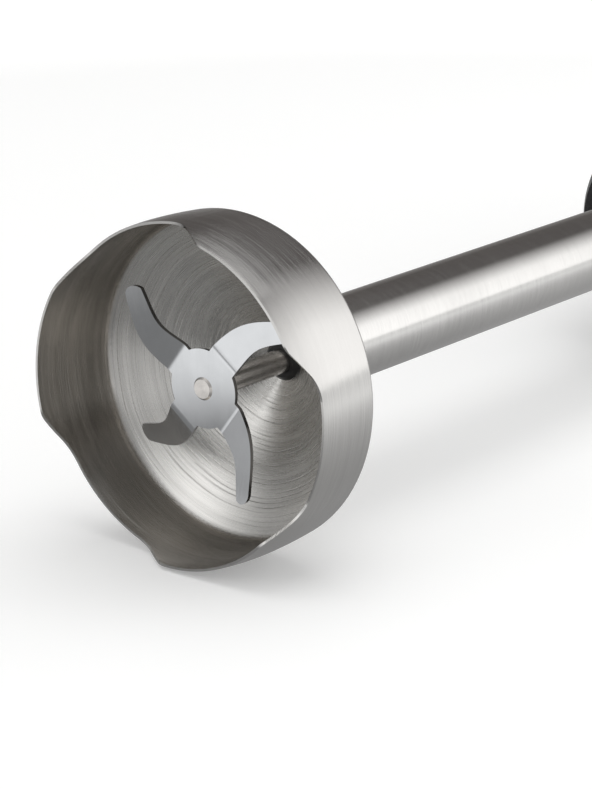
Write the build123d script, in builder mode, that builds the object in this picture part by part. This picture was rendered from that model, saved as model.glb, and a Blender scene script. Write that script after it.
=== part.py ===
from build123d import *
import os
from math import atan, cos, radians, sin, tan

# Immersion blender, lying as it does on a worktop: bell at -X, handle at +X, buttons up.
# Millimetres. Every distance "from the lip" is measured along the blender's axis.

# ---------------------------------------------------------------- driving dimensions
# bell guard
bell_radius = 33.0  # outside, at the lip
bell_bulge = 0.8  # how far the wall swells between the lip and the back
bell_bulge_at = 11.0  # from the lip
bell_back_radius = 33.4
bell_depth = 20.8  # lip to the inner edge of the back
bell_wall = 0.5
bell_back_corner = 1.2  # rounding outside, where the wall meets the back
bell_back_crease = 2.5  # the same inside
cone_depth = 15.5  # inner edge of the back to the hub
hub_web = 1.5
neck_fillet = 6.0
neck_length = 8.2  # straight neck behind the hub web
wave_count = 3  # lobes round the lip
wave_depth = 5.5
wave_angle = 38.7  # of the first lobe, from the top towards the front
wave_mouth = 35.8  # half angle of a recess at the lip
wave_slope = 40.4  # degrees, of its two sides
wave_corner = 2.5  # rounding where a side meets the lip
wave_hollow = 8.0  # rounding at the bottom

# blade
prong_count = 4
prong_angle = 38.0  # of the first prong, from the top towards the front
blade_at = 11.9  # middle of its thickness, from the lip
blade_thickness = 0.8
blade_hub_radius = 7.9
blade_root_round = 1.6  # in the corners between the hub and the prongs
blade_bend_round = 4.0  # of the bends, at the middle of the thickness
prong_bend_at = 8.6  # bend line, from the axis
prong_length = 14.9  # bend line to tip
prong_root = 7.0  # width at the bend line
prong_sweep = 5.9  # how far the tip's middle leads the root's
prong_tip = 2.1  # half width near the tip
lip_side_bend = 19.8  # degrees, the two prongs that lean to the lip
hub_side_bend = 17.7  # degrees, the two that lean to the hub

# drive shaft and what guides it
shaft_radius = 2.475
tenon_radius = 2.0  # through the blade
rivet_radius = 2.3
rivet_height = 0.4
running_clearance = 0.05  # radial, between a turning shaft and its bore
seal_radius = 4.1
seal_flange_radius = 6.6
seal_flange = 1.8
seal_nose = 0.9  # how far the seal stands into the bell
bush_radius = 5.0
bush_length = 16.0
carrier_length = 22.4
upper_carrier_length = 12.0
upper_bush_length = 10.0
middle_bush_length = 8.0
liner_wall = 1.5
shaft_room = 0.8  # radial, where a bore isn't meant to guide the shaft
washer_radius = 5.6
washer_thickness = 0.8
clip_radius = 4.6
clip_groove = 0.45  # depth of the clip's groove in the shaft
axial_gap = 0.3  # between a turning face and a still one

# shaft tube
tube_radius = 8.96
tube_wall = 1.0
tube_grip = 11.2  # length held in the collar

# coupling between the motor and the drive shaft
coupling_radius = 7.0
coupling_length = 15.0
hexagon_flats = 8.0  # the motor's driver, across flats
hexagon_clearance = 0.15
hexagon_length = 6.0
driver_radius = 6.2
driver_length = 11.4
shaft_end_gap = 0.5

# foot collar
foot_length = 184.8  # lip to the collar's lower edge
collar_edge_radius = 20.8
collar_flare_radius = 24.4
collar_flare_at = 6.2
collar_radius = 27.6
collar_length = 21.2
collar_sleeve = 3.6  # thickness of the core round the tube
collar_dish = 3.6  # how deep its lower face goes in
spigot_radius = 17.0
spigot_length = 18.0
spigot_bore = 9.5
latch_groove_depth = 1.8
latch_groove_width = 3.0
o_ring = 1.6  # its thickness
groove_land = 2.1  # between the latch groove and the seal's groove

# handle nose
seam = 0.4  # gap between foot and handle
socket_clearance = 0.08
socket_wall = 2.0
socket_length = 19.6
socket_floor = 2.5
socket_floor_hole = 8.0
nose_length = 24.6
nose_wall = 2.2
nose_tongue = 8.0  # ring that the two housings clamp
trim_length = 3.0
trim_proud = 0.15

# latch ring and release buttons
latch_thickness = 0.8
latch_width = 6.0
latch_room = 1.0  # between the pressed ring and the socket tube, at the buttons
latch_gap = 1.0  # between the ring and the socket tube, at its hooks
hook_width = 6.0
hook_thickness = 2.4
hook_clearance = 0.5
release_length = 12.4
release_width = 8.4
release_proud = 1.3
release_travel = 2.0
flange_margin = 0.8  # how far a button's flange reaches past its window
flange_thickness = 1.3
window_clearance = 0.3

# handle body
body_length = 138.0
body_start_radius = 31.2
flat_drop = 1.6  # how far the belly is cut off to stand on
belly_at = 38.0
grip_radius = 27.6
grip_at = 36.0  # before the body's end
body_end_radius = 29.6
housing_wall = 2.4
rib_radius = 27.0
rib_width = 4.0
vent_count = 6  # on each side
vent_length = 12.0
vent_width = 1.8
vent_pitch = 9.0  # degrees
vent_at = 27.0  # middle of the slots, from the body's start

# soft grip on the back
soft_length = 70.0
soft_width = 40.0
soft_depth = 1.2
soft_at = 40.0  # its middle, before the body's end
soft_rib = 1.6
soft_rib_pitch = 5.0
soft_rib_count = 11
soft_rib_proud = 0.5

# control panel and push buttons
panel_length = 66.0
panel_width = 21.0
panel_depth = 1.5
panel_gap = 0.2
button_length = 21.0
button_width = 13.0
button_proud = 1.6
button_round = 0.7  # round the edge of its top
button_travel = 2.0
button_spacing = 27.0
button_rise = 1.6  # flange thickness under the housing
button_slack = 0.4
stem_radius = 2.0
spring_radius = 2.2
spring_wire = 0.45
spring_turns = 4
spring_offset = 7.5

# circuit board and what sits on it
board_gap = 3.0  # behind the motor's rear bracket
board_lead = 23.0  # its start, ahead of the panel's middle
board_length = 64.0
board_width = 22.0
board_height = 15.2  # above the axis
board_thickness = 1.6
switch_length = 9.0
switch_width = 6.0
switch_height = 3.0
plunger_radius = 1.3
plunger_height = 0.6
capacitor_length = 16.0
capacitor_width = 7.5
capacitor_height = 11.0

# end cap, dial and cable inlet
cap_length = 16.0
cap_wall = 2.4
cap_tongue = 6.0
cap_round = 4.0
dial_height = 11.4
dial_recess = 4.0
dial_round = 1.2  # round the edge of its face
dial_groove = 1.0  # radius of the grooves in its side
dial_groove_off = 0.5  # how far their middles lie outside it
dial_gap = 0.6
dial_grooves = 36
edge_round = 0.5  # of the dial's recess and the gland's flange
spindle_radius = 3.0
spindle_length = 16.0
spindle_in_dial = 7.0
pot_radius = 8.0
pot_length = 8.0
pot_bush_radius = 4.6
pot_flat = 1.2  # between its case and the cap
gland_radius = 4.8
gland_flange = 1.1
gland_flange_thickness = 1.5
gland_bore = 3.4
gland_nose = 3.0
gland_room = 0.3  # between the gland's flange and the cap's wall
gland_margin = 0.1  # between the gland's flange and the dial's recess
intake_count = 16
intake_length = 6.0
intake_width = 1.8

# motor
motor_at = 12.5  # its front bearing, behind the body's start
stator_gap = 10.0  # front bracket to the stack, round the winding heads
winding_gap = 1.0  # winding heads to the rear bracket
commutator_gap = 3.0  # rear bracket to the commutator
tower_past = 4.0  # how far the tower reaches past the commutator
shaft_past = 2.0  # how far the shaft reaches past its rear bearing
motor_shaft_radius = 3.0
motor_nose_radius = 2.5  # the shaft's front end, in the driver
motor_bearing_radius = 8.0
bearing_length = 6.0
bracket_thickness = 3.0
bracket_hub = 2.5
fan_radius = 20.0
fan_length = 9.0
fan_blades = 9
fan_blade_thickness = 1.2
fan_plate = 1.5
fan_gap = 1.5  # behind it, to the front bearing
stack_length = 24.0
stack_width = 48.0
stack_height = 46.0
stack_corner = 12.0
rotor_radius = 14.0
air_gap = 0.4
coil_thickness = 5.0
coil_leg = 5.6
coil_overhang = 5.6
coil_clearance = 0.2
rotor_slots = 12
bar_radius = 1.6
bar_circle = 11.2
bar_clearance = 0.1
winding_head = 7.0
winding_rim = 0.6  # how far the winding heads reach out past the bars
commutator_radius = 8.0
commutator_length = 12.0
commutator_bars = 12
segment_gap = 0.6
tower_radius = 14.0  # outside of the rear bracket's tower
tower_wall = 2.0
brush_width = 6.8
brush_thickness = 4.8
brush_length = 9.5
brush_gap = 0.3
holder_wall = 0.8
holder_length = 13.5
brush_spring_radius = 1.7
brush_spring_wire = 0.35
bolt_radius = 1.5
bolt_head_radius = 2.8
bolt_head = 2.0
bolt_circle = 21.2
post_radius = 2.8
bracket_rim = 0.6  # outside the posts

# housing screws
screw_radius = 1.5
screw_head_radius = 3.1
screw_head = 2.0
screw_reach = 8.5  # past the split, into the top housing
screw_seat = 12.5  # head's seat, below the split
boss_radius = 3.6
counterbore_clearance = 0.3
screw_lead = 9.3  # the front pair, behind the body's start
screw_tail = 20.0  # the rear pair, before the body's end
front_screw_side = 25.0  # off the middle
rear_screw_side = 17.4
screw_places = ((screw_lead, front_screw_side), (body_length - screw_tail, rear_screw_side))

# ---------------------------------------------------------------- stations from the lip
hub_face = bell_depth + cone_depth
hub_back = hub_face + hub_web
neck_end = hub_back + neck_length
bore_radius = tube_radius - tube_wall
carrier_start = hub_back + seal_flange
carrier_end = carrier_start + carrier_length
tube_end = foot_length + tube_grip
upper_carrier_start = tube_end - upper_carrier_length
clip_start = tube_end + washer_thickness + axial_gap
coupling_start = clip_start + washer_thickness + 4 * axial_gap
coupling_end = coupling_start + coupling_length
seat_face = foot_length + collar_length
spigot_end = seat_face + spigot_length
nose_start = seat_face + seam
socket_end = nose_start + socket_length
nose_end = nose_start + nose_length
latch_middle = nose_start + nose_wall + 2 * window_clearance + flange_margin + release_length / 2
seal_middle = latch_middle + latch_groove_width / 2 + groove_land + o_ring / 2
body_start = nose_end + trim_length
body_end = body_start + body_length
cap_end = body_end + cap_length
recess_floor = cap_end - dial_recess
dial_start = recess_floor + dial_gap
overall_length = dial_start + dial_height
gland_at = body_end_radius - cap_wall - gland_room - gland_flange - gland_radius  # below the axis
dial_radius = gland_at - gland_radius - gland_flange - gland_margin - dial_gap

axis_height = bell_radius + bell_bulge
lip_x = -overall_length / 2
belly_radius = axis_height + flat_drop

# motor stations
bracket_radius = bolt_circle + post_radius + bracket_rim
front_bearing_start = body_start + motor_at
bracket_start = front_bearing_start + (bearing_length - bracket_thickness) / 2
stack_start = bracket_start + bracket_thickness + stator_gap
stack_end = stack_start + stack_length
rear_bracket_start = stack_end + winding_head + winding_gap
commutator_start = rear_bracket_start + bracket_thickness + commutator_gap
commutator_end = commutator_start + commutator_length
brush_at = commutator_start + commutator_length / 2
tower_end = commutator_end + tower_past
motor_shaft_end = tower_end + bearing_length + shaft_past
driver_start = coupling_end + shaft_end_gap

# ---------------------------------------------------------------- planes
axis_line = Axis((lip_x, 0, axis_height), (1, 0, 0))
lengthwise = Plane(origin=(lip_x, 0, axis_height), x_dir=(1, 0, 0), z_dir=(0, -1, 0))
split_up = Plane(origin=(lip_x, 0, axis_height), x_dir=(1, 0, 0), z_dir=(0, 0, 1))
split_down = Plane(origin=(lip_x, 0, axis_height), x_dir=(1, 0, 0), z_dir=(0, 0, -1))


def across(distance):
    """Plane square to the axis at a distance from the lip: local x is +Y, local y is up."""
    return Plane(origin=(lip_x + distance, 0, axis_height), x_dir=(0, 1, 0), z_dir=(1, 0, 0))


def outwards(angle):
    """Direction square to the axis, at an angle from the top towards the front."""
    return Vector(0, -sin(radians(angle)), cos(radians(angle)))


def band(start, end, inner, outer):
    """Section of a plain ring round the axis."""
    Polygon((start, inner), (end, inner), (end, outer), (start, outer), align=None)


def body_core(outset):
    """Half section of the handle's body, with its outside moved out by outset."""
    side = Edge.make_spline(
        [
            Vector(body_start, body_start_radius + outset),
            Vector(body_start + belly_at, belly_radius + outset),
            Vector(body_end - grip_at, grip_radius + outset),
            Vector(body_end, body_end_radius + outset),
        ],
        tangents=[Vector(1, 0.15), Vector(1, 0.05)],
    )
    rest = Wire.make_polygon([side @ 1, (body_end, 0), (body_start, 0), side @ 0], close=False)
    return Face(Wire([side, *rest.edges()]))


def coil_spring(foot, length, radius, wire, turns):
    """Coil spring that stands on the plane foot."""
    rise = length - 2 * wire
    with BuildPart() as spring:
        with BuildLine() as coil:
            Helix(rise / turns, rise, radius, center=foot.origin + foot.z_dir * wire, direction=foot.z_dir)
        with BuildSketch(Plane(origin=coil.line @ 0, z_dir=coil.line % 0)):
            Circle(wire)
        sweep(path=coil.line)
    return spring.part


# ---------------------------------------------------------------- foot: bell and tube
cone_slope = atan(cone_depth / (bell_back_radius - bell_wall - seal_radius))
inner_back = bell_back_radius - bell_wall
outer_edge = bell_depth + bell_wall * (1 - sin(cone_slope)) / cos(cone_slope)
neck_start = outer_edge + (bell_back_radius - tube_radius) * tan(cone_slope)

with BuildPart() as bell_guard:
    with BuildSketch(lengthwise):
        with BuildLine():
            TangentArc(
                (bell_bulge_at, bell_radius + bell_bulge),
                (outer_edge, bell_back_radius),
                tangent=(1, 0),
            )
            back = FilletPolyline(
                (outer_edge, bell_back_radius),
                (neck_start, tube_radius),
                (neck_end, tube_radius),
                radius=neck_fillet,
            )
            Polyline(
                back @ 1,
                (neck_end, bore_radius),
                (hub_back, bore_radius),
                (hub_back, seal_radius),
                (hub_face, seal_radius),
                (bell_depth, inner_back),
            )
            TangentArc(
                (bell_bulge_at, bell_radius + bell_bulge - bell_wall),
                (bell_depth, inner_back),
                tangent=(1, 0),
            )
            TangentArc(
                (bell_bulge_at, bell_radius + bell_bulge - bell_wall),
                (0, bell_radius - bell_wall),
                tangent=(-1, 0),
            )
            Line((0, bell_radius - bell_wall), (0, bell_radius))
            TangentArc(
                (bell_bulge_at, bell_radius + bell_bulge),
                (0, bell_radius),
                tangent=(-1, 0),
            )
        make_face()
    revolve(axis=axis_line)
    back_edges = bell_guard.edges().filter_by(GeomType.CIRCLE)
    fillet(back_edges.filter_by(lambda e: abs(e.radius - bell_back_radius) < 1e-4), bell_back_corner)
    back_edges = bell_guard.edges().filter_by(GeomType.CIRCLE)
    fillet(
        back_edges.filter_by(
            lambda e: abs(e.radius - inner_back) < 1e-4 and abs(e.arc_center.X - lip_x - bell_depth) < 1e-4
        ),
        bell_back_crease,
    )
    # the recesses of the wavy lip, cut straight outwards from inside
    turn = tan(radians(wave_slope / 2))
    side_end = bell_radius * sin(radians(wave_mouth))
    side_start = side_end - wave_depth / tan(radians(wave_slope))
    side_way = (-sin(radians(wave_slope)), cos(radians(wave_slope)))
    for number in range(wave_count):
        outward = outwards(wave_angle + (number + 0.5) * 360 / wave_count)
        start = Vector(lip_x, 0, axis_height) + outward * bell_radius / 2
        with BuildSketch(Plane(origin=start, x_dir=(1, 0, 0), z_dir=outward)):
            with BuildLine():
                bottom = Line((wave_depth, 0), (wave_depth, side_start - wave_hollow * turn))
                hollow = JernArc(bottom @ 1, (0, 1), wave_hollow, wave_slope)
                corner_start = (
                    -wave_corner * turn * side_way[0],
                    side_end - wave_corner * turn * side_way[1],
                )
                Line(hollow @ 1, corner_start)
                corner = JernArc(corner_start, side_way, wave_corner, -wave_slope)
                Polyline(corner @ 1, corner @ 1 - (bell_wall, 0), (-bell_wall, 0))
                mirror(about=Plane.XZ)
            make_face()
        extrude(amount=bell_radius, mode=Mode.SUBTRACT)

with BuildPart() as shaft_tube:
    with BuildSketch(lengthwise):
        band(neck_end, tube_end, bore_radius, tube_radius)
    revolve(axis=axis_line)

# ---------------------------------------------------------------- foot: guides of the drive shaft
guide_radius = shaft_radius + running_clearance

with BuildPart() as shaft_seal:
    with BuildSketch(lengthwise):
        Polygon(
            (hub_face - seal_nose, guide_radius),
            (carrier_start, guide_radius),
            (carrier_start, seal_flange_radius),
            (hub_back, seal_flange_radius),
            (hub_back, seal_radius),
            (hub_face, seal_radius),
            (hub_face - seal_nose, (guide_radius + seal_radius) / 2),
            align=None,
        )
    revolve(axis=axis_line)

with BuildPart() as bearing_carrier:
    with BuildSketch(lengthwise):
        band(carrier_start, carrier_end, bush_radius, bore_radius)
        band(
            carrier_start + bush_length,
            carrier_end,
            shaft_radius + shaft_room,
            bush_radius,
        )
    revolve(axis=axis_line)

with BuildPart() as lower_bush:
    with BuildSketch(lengthwise):
        band(carrier_start, carrier_start + bush_length, guide_radius, bush_radius)
    revolve(axis=axis_line)

liner_bore = bore_radius - liner_wall
with BuildPart() as shaft_liner:
    with BuildSketch(lengthwise):
        band(carrier_end, upper_carrier_start, liner_bore, bore_radius)
    revolve(axis=axis_line)

liner_middle = (carrier_end + upper_carrier_start) / 2
with BuildPart() as middle_bush:
    with BuildSketch(lengthwise):
        band(
            liner_middle - middle_bush_length / 2,
            liner_middle + middle_bush_length / 2,
            guide_radius,
            liner_bore,
        )
    revolve(axis=axis_line)

with BuildPart() as upper_carrier:
    with BuildSketch(lengthwise):
        band(upper_carrier_start, tube_end, bush_radius, bore_radius)
        band(
            upper_carrier_start,
            tube_end - upper_bush_length,
            shaft_radius + shaft_room,
            bush_radius,
        )
    revolve(axis=axis_line)

with BuildPart() as upper_bush:
    with BuildSketch(lengthwise):
        band(tube_end - upper_bush_length, tube_end, guide_radius, bush_radius)
    revolve(axis=axis_line)

with BuildPart() as thrust_washer:
    with BuildSketch(lengthwise):
        band(tube_end, tube_end + washer_thickness, guide_radius, washer_radius)
    revolve(axis=axis_line)

# ---------------------------------------------------------------- foot: collar
core_radius = tube_radius + collar_sleeve
core_start = foot_length + collar_dish

with BuildPart() as collar_core:
    with BuildSketch(lengthwise):
        Polygon(
            (core_start, tube_radius),
            (tube_end, tube_radius),
            (tube_end, spigot_bore),
            (spigot_end, spigot_bore),
            (spigot_end, spigot_radius),
            (seat_face, spigot_radius),
            (seat_face, core_radius),
            (core_start, core_radius),
            align=None,
        )
        groove_start = latch_middle - latch_groove_width / 2
        Polygon(
            (groove_start, spigot_radius - latch_groove_depth),
            (groove_start + latch_groove_width, spigot_radius - latch_groove_depth),
            (groove_start + latch_groove_width, spigot_radius),
            (groove_start, spigot_radius),
            align=None,
            mode=Mode.SUBTRACT,
        )
        with Locations((seal_middle, spigot_radius - o_ring / 2)):
            Rectangle(o_ring, o_ring, mode=Mode.SUBTRACT)
    revolve(axis=axis_line)
    chamfer(
        collar_core.edges()
        .filter_by(GeomType.CIRCLE)
        .filter_by(lambda e: abs(e.radius - spigot_radius) < 1e-4)
        .sort_by(Axis.X)[-1],
        0.8,
    )

with BuildPart() as collar_shell:
    with BuildSketch(lengthwise):
        with BuildLine():
            ThreePointArc(
                (foot_length, collar_edge_radius),
                (foot_length + collar_flare_at, collar_flare_radius),
                (seat_face, collar_radius),
            )
            Polyline(
                (seat_face, collar_radius),
                (seat_face, core_radius),
                (foot_length + collar_dish, core_radius),
                (foot_length, collar_edge_radius - 1),
                (foot_length, collar_edge_radius),
            )
        make_face()
    revolve(axis=axis_line)

with BuildPart() as collar_seal:
    with BuildSketch(lengthwise):
        with Locations((seal_middle, spigot_radius - o_ring / 2)):
            Circle(o_ring / 2)
    revolve(axis=axis_line)

# ---------------------------------------------------------------- blade drive
tenon_start = blade_at - blade_thickness / 2
tenon_end = blade_at + blade_thickness / 2

blade_middle = Vector(lip_x + blade_at, 0, axis_height)


def blade_prong(number):
    """A prong, bent out of the flat, with its quarter of the hub."""
    out = outwards(prong_angle + number * 360 / prong_count)
    lean = radians(hub_side_bend if number % 2 == 0 else -lip_side_bend)
    length = prong_length * cos(lean)
    corner = blade_thickness / 2 * tan(lean / 2)
    fold = blade_thickness / 2 * lean / abs(lean)
    with BuildPart() as prong:
        with BuildSketch(Plane(origin=blade_middle, x_dir=out, z_dir=(1, 0, 0))) as outline:
            with BuildLine():
                leading = Spline(
                    (prong_bend_at, prong_root / 2),
                    (prong_bend_at + 0.4 * length, prong_root / 2),
                    (prong_bend_at + length - 0.9 * prong_tip, prong_sweep + 0.9 * prong_tip),
                    tangents=((1, -0.05), (1, 0.7)),
                )
                trailing = Spline(
                    (prong_bend_at, -prong_root / 2),
                    (prong_bend_at + 0.4 * length, -0.36 * prong_root),
                    (prong_bend_at + length - 0.3 * prong_tip, prong_sweep - 0.9 * prong_tip),
                    tangents=((1, 0.05), (1, 1.1)),
                )
                ThreePointArc(
                    leading @ 1,
                    (prong_bend_at + length, prong_sweep + 0.25 * prong_tip),
                    trailing @ 1,
                )
                Polyline(leading @ 0, (0, prong_root / 2), (0, -prong_root / 2), trailing @ 0)
            make_face()
            Circle(blade_hub_radius)
            corners = outline.vertices().filter_by(
                lambda v: abs((Vector(v) - blade_middle).length - blade_hub_radius) < 1e-4
            )
            fillet(corners, blade_root_round)
            Polygon(
                (0, 0),
                (prong_length, -prong_length),
                (2 * prong_length, 0),
                (prong_length, prong_length),
                align=None,
                mode=Mode.INTERSECT,
            )
        extrude(amount=prong_length, both=True)
        with BuildSketch(Plane(origin=blade_middle, x_dir=out, z_dir=out.cross(Vector(1, 0, 0)))):
            with BuildLine():
                rear = FilletPolyline(
                    (0, blade_thickness / 2),
                    (prong_bend_at - corner, blade_thickness / 2),
                    (prong_bend_at - corner + 2 * length, blade_thickness / 2 + 2 * length * tan(lean)),
                    radius=blade_bend_round - fold,
                )
                front = FilletPolyline(
                    (0, -blade_thickness / 2),
                    (prong_bend_at + corner, -blade_thickness / 2),
                    (prong_bend_at + corner + 2 * length, -blade_thickness / 2 + 2 * length * tan(lean)),
                    radius=blade_bend_round + fold,
                )
                Line(rear @ 0, front @ 0)
                Line(rear @ 1, front @ 1)
            make_face()
        extrude(amount=prong_length, both=True, mode=Mode.INTERSECT)
    return prong.part


with BuildPart() as blade:
    for number in range(prong_count):
        add(blade_prong(number))
    with BuildSketch(across(tenon_start)):
        Circle(tenon_radius)
    extrude(amount=blade_thickness, mode=Mode.SUBTRACT)

with BuildPart() as drive_shaft:
    with BuildSketch(lengthwise):
        Polygon(
            (tenon_start - rivet_height, 0),
            (tenon_start - rivet_height, rivet_radius - rivet_height),
            (tenon_start, rivet_radius),
            (tenon_start, tenon_radius),
            (tenon_end, tenon_radius),
            (tenon_end, shaft_radius),
            (clip_start, shaft_radius),
            (clip_start, shaft_radius - clip_groove),
            (clip_start + washer_thickness, shaft_radius - clip_groove),
            (clip_start + washer_thickness, shaft_radius),
            (coupling_end - hexagon_length - 2 * shaft_end_gap, shaft_radius),
            (coupling_end - hexagon_length - 2 * shaft_end_gap, 0),
            align=None,
        )
    revolve(axis=axis_line)

with BuildPart() as shaft_clip:
    with BuildSketch(across(clip_start)):
        Circle(clip_radius)
        Circle(shaft_radius - clip_groove, mode=Mode.SUBTRACT)
        with Locations((0, clip_radius / 2)):
            Rectangle(shaft_radius, clip_radius, mode=Mode.SUBTRACT)
    extrude(amount=washer_thickness)

with BuildPart() as driven_coupling:
    with BuildSketch(across(coupling_start)):
        Circle(coupling_radius)
    extrude(amount=coupling_length)
    chamfer(driven_coupling.edges().group_by(Axis.X)[0], 0.8)
    with BuildSketch(across(coupling_start)):
        Circle(shaft_radius)
    extrude(amount=coupling_length, mode=Mode.SUBTRACT)
    with BuildSketch(across(coupling_end - hexagon_length - shaft_end_gap)):
        RegularPolygon(hexagon_flats / 2 + hexagon_clearance, 6, major_radius=False)
    extrude(amount=hexagon_length + shaft_end_gap, mode=Mode.SUBTRACT)

# ---------------------------------------------------------------- handle nose and latch
socket_radius = spigot_radius + socket_clearance
socket_outer = socket_radius + socket_wall
latch_squeeze = release_travel + latch_room
window_length = release_length + 2 * window_clearance
window_width = release_width + 2 * window_clearance


def nose_outside(distance):
    """Outer radius of the handle nose at a distance from the lip."""
    return collar_radius + (body_start_radius - collar_radius) * (distance - nose_start) / nose_length


with BuildPart() as handle_nose:
    with BuildSketch(lengthwise):
        Polygon(
            (nose_start, socket_radius),
            (socket_end, socket_radius),
            (socket_end, socket_floor_hole),
            (socket_end + socket_floor, socket_floor_hole),
            (socket_end + socket_floor, socket_outer),
            (nose_start + nose_wall, socket_outer),
            (nose_start + nose_wall, nose_outside(nose_start + nose_wall) - nose_wall),
            (nose_end, body_start_radius - nose_wall - housing_wall),
            (nose_end + nose_tongue, body_start_radius - nose_wall - housing_wall),
            (nose_end + nose_tongue, body_start_radius - housing_wall),
            (nose_end, body_start_radius - housing_wall),
            (nose_end, body_start_radius),
            (nose_start, collar_radius),
            align=None,
        )
    revolve(axis=axis_line)
    chamfer(
        handle_nose.edges()
        .filter_by(GeomType.CIRCLE)
        .filter_by(lambda e: min(abs(e.radius - collar_radius), abs(e.radius - body_start_radius)) < 1e-4),
        0.4,
    )
    # windows for the release buttons, left and right
    with BuildSketch(lengthwise):
        with Locations((latch_middle, 0)):
            SlotOverall(window_length, window_width)
    extrude(amount=body_start_radius, both=True, mode=Mode.SUBTRACT)
    # the socket tube and its floor go back in across the windows
    with BuildSketch(lengthwise):
        band(nose_start, socket_end, socket_radius, socket_outer)
    revolve(axis=axis_line)
    # windows for the latch hooks, top and bottom
    with BuildSketch(split_up):
        with Locations((latch_middle, 0)):
            Rectangle(hook_thickness, hook_width + 2 * window_clearance)
    extrude(amount=socket_outer + latch_gap / 2, both=True, mode=Mode.SUBTRACT)

with BuildPart() as latch_ring:
    with BuildSketch(across(latch_middle - latch_width / 2)):
        Ellipse(socket_outer + latch_squeeze + latch_thickness, socket_outer + latch_gap + latch_thickness)
        Ellipse(socket_outer + latch_squeeze, socket_outer + latch_gap, mode=Mode.SUBTRACT)
    extrude(amount=latch_width)
    hook_foot = spigot_radius - latch_groove_depth + hook_clearance
    with BuildSketch(across(latch_middle - hook_thickness / 2)):
        for side in (1, -1):
            with Locations((0, side * (hook_foot + socket_outer + latch_gap + latch_thickness / 2) / 2)):
                Rectangle(hook_width, socket_outer + latch_gap + latch_thickness / 2 - hook_foot)
    extrude(amount=hook_thickness)

release_inner = socket_outer + latch_squeeze + latch_thickness + button_slack
release_outer = nose_outside(latch_middle) + release_proud
release_buttons = []
for side in (1, -1):
    with BuildPart() as release_button:
        side_plane = Plane(origin=(lip_x, 0, axis_height), x_dir=(1, 0, 0), z_dir=(0, side, 0))
        with BuildSketch(side_plane.offset(release_inner)):
            with Locations((latch_middle, 0)):
                SlotOverall(window_length + 2 * flange_margin, window_width + 2 * flange_margin)
        extrude(amount=flange_thickness)
        with BuildSketch(side_plane.offset(release_inner)):
            with Locations((latch_middle, 0)):
                SlotOverall(release_length, release_width)
        extrude(amount=release_outer - release_inner)
        fillet(release_button.edges().group_by(Axis.Y)[-1 if side > 0 else 0], 0.8)
    release_buttons.append(release_button)
release_button_right, release_button_left = release_buttons

with BuildPart() as trim_ring:
    with BuildSketch(lengthwise):
        band(nose_end, body_start, body_start_radius - housing_wall, body_start_radius + trim_proud)
    revolve(axis=axis_line)
    chamfer(
        trim_ring.edges()
        .filter_by(GeomType.CIRCLE)
        .filter_by(lambda e: abs(e.radius - body_start_radius - trim_proud) < 1e-4),
        0.3,
    )

# ---------------------------------------------------------------- handle housings
rib_places = (bracket_start, rear_bracket_start)


def housing(half):
    """One half of the handle's body, on the side that the plane half faces."""
    with BuildPart() as shell:
        for distance, offside in screw_places:
            with BuildSketch(half):
                with Locations((body_start + distance, offside), (body_start + distance, -offside)):
                    Circle(boss_radius)
            extrude(amount=belly_radius)
        with BuildSketch(half):
            add(body_core(-housing_wall / 2))
        revolve(axis=axis_line, revolution_arc=180, mode=Mode.INTERSECT)
        with BuildSketch(half):
            add(body_core(0))
            add(body_core(-housing_wall), mode=Mode.SUBTRACT)
        revolve(axis=axis_line, revolution_arc=180)
        for place in rib_places:
            with BuildSketch(half):
                add(body_core(-housing_wall / 2))
                with Locations((place + bracket_thickness / 2, rib_radius + belly_radius / 2)):
                    Rectangle(rib_width, belly_radius, mode=Mode.INTERSECT)
            revolve(axis=axis_line, revolution_arc=180)
        with BuildSketch(half):
            band(body_end - cap_tongue, body_end, 0, body_end_radius - housing_wall)
        revolve(axis=axis_line, revolution_arc=180, mode=Mode.SUBTRACT)
        vent_middle = Vector(lip_x + body_start + vent_at, 0, axis_height)
        for side in (90, -90):
            for number in range(vent_count):
                turn = side + (number - (vent_count - 1) / 2) * vent_pitch
                with BuildSketch(Plane(origin=vent_middle, x_dir=(1, 0, 0), z_dir=outwards(turn))):
                    SlotOverall(vent_length, vent_width)
                extrude(amount=2 * belly_radius, mode=Mode.SUBTRACT)
    return shell


board_start = rear_bracket_start + bracket_thickness + board_gap
panel_middle = board_start + board_lead
button_middles = (panel_middle - button_spacing / 2, panel_middle + button_spacing / 2)
button_window_length = button_length + 2 * window_clearance
button_window_width = button_width + 2 * window_clearance

with BuildPart() as panel_pocket:
    with BuildSketch(split_up):
        with Locations((panel_middle, 0)):
            SlotOverall(panel_length, panel_width)
    extrude(amount=2 * belly_radius)
    with BuildSketch(split_up):
        add(body_core(-panel_depth))
    revolve(axis=axis_line, mode=Mode.SUBTRACT)

with BuildPart() as grip_pocket:
    with BuildSketch(split_down):
        with Locations((body_end - soft_at, 0)):
            SlotOverall(soft_length, soft_width)
    extrude(amount=2 * belly_radius)
    with BuildSketch(split_up):
        add(body_core(-soft_depth))
    revolve(axis=axis_line, mode=Mode.SUBTRACT)

# what lies below the worktop, where the handle is cut flat to lie level with the bell's underside
with BuildPart() as worktop:
    with BuildSketch(split_down.offset(axis_height)):
        with Locations((body_start + body_length / 2, 0)):
            Rectangle(body_length, 2 * belly_radius)
    extrude(amount=belly_radius)

with BuildPart() as housing_top:
    add(housing(split_up).part)
    add(panel_pocket.part, mode=Mode.SUBTRACT)
    with BuildSketch(split_up):
        for middle in button_middles:
            with Locations((middle, 0)):
                SlotOverall(button_window_length, button_window_width)
    extrude(amount=2 * belly_radius, mode=Mode.SUBTRACT)
    with BuildSketch(split_up):
        for distance, offside in screw_places:
            with Locations((body_start + distance, offside), (body_start + distance, -offside)):
                Circle(screw_radius)
    extrude(amount=screw_reach + seam, mode=Mode.SUBTRACT)

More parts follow.
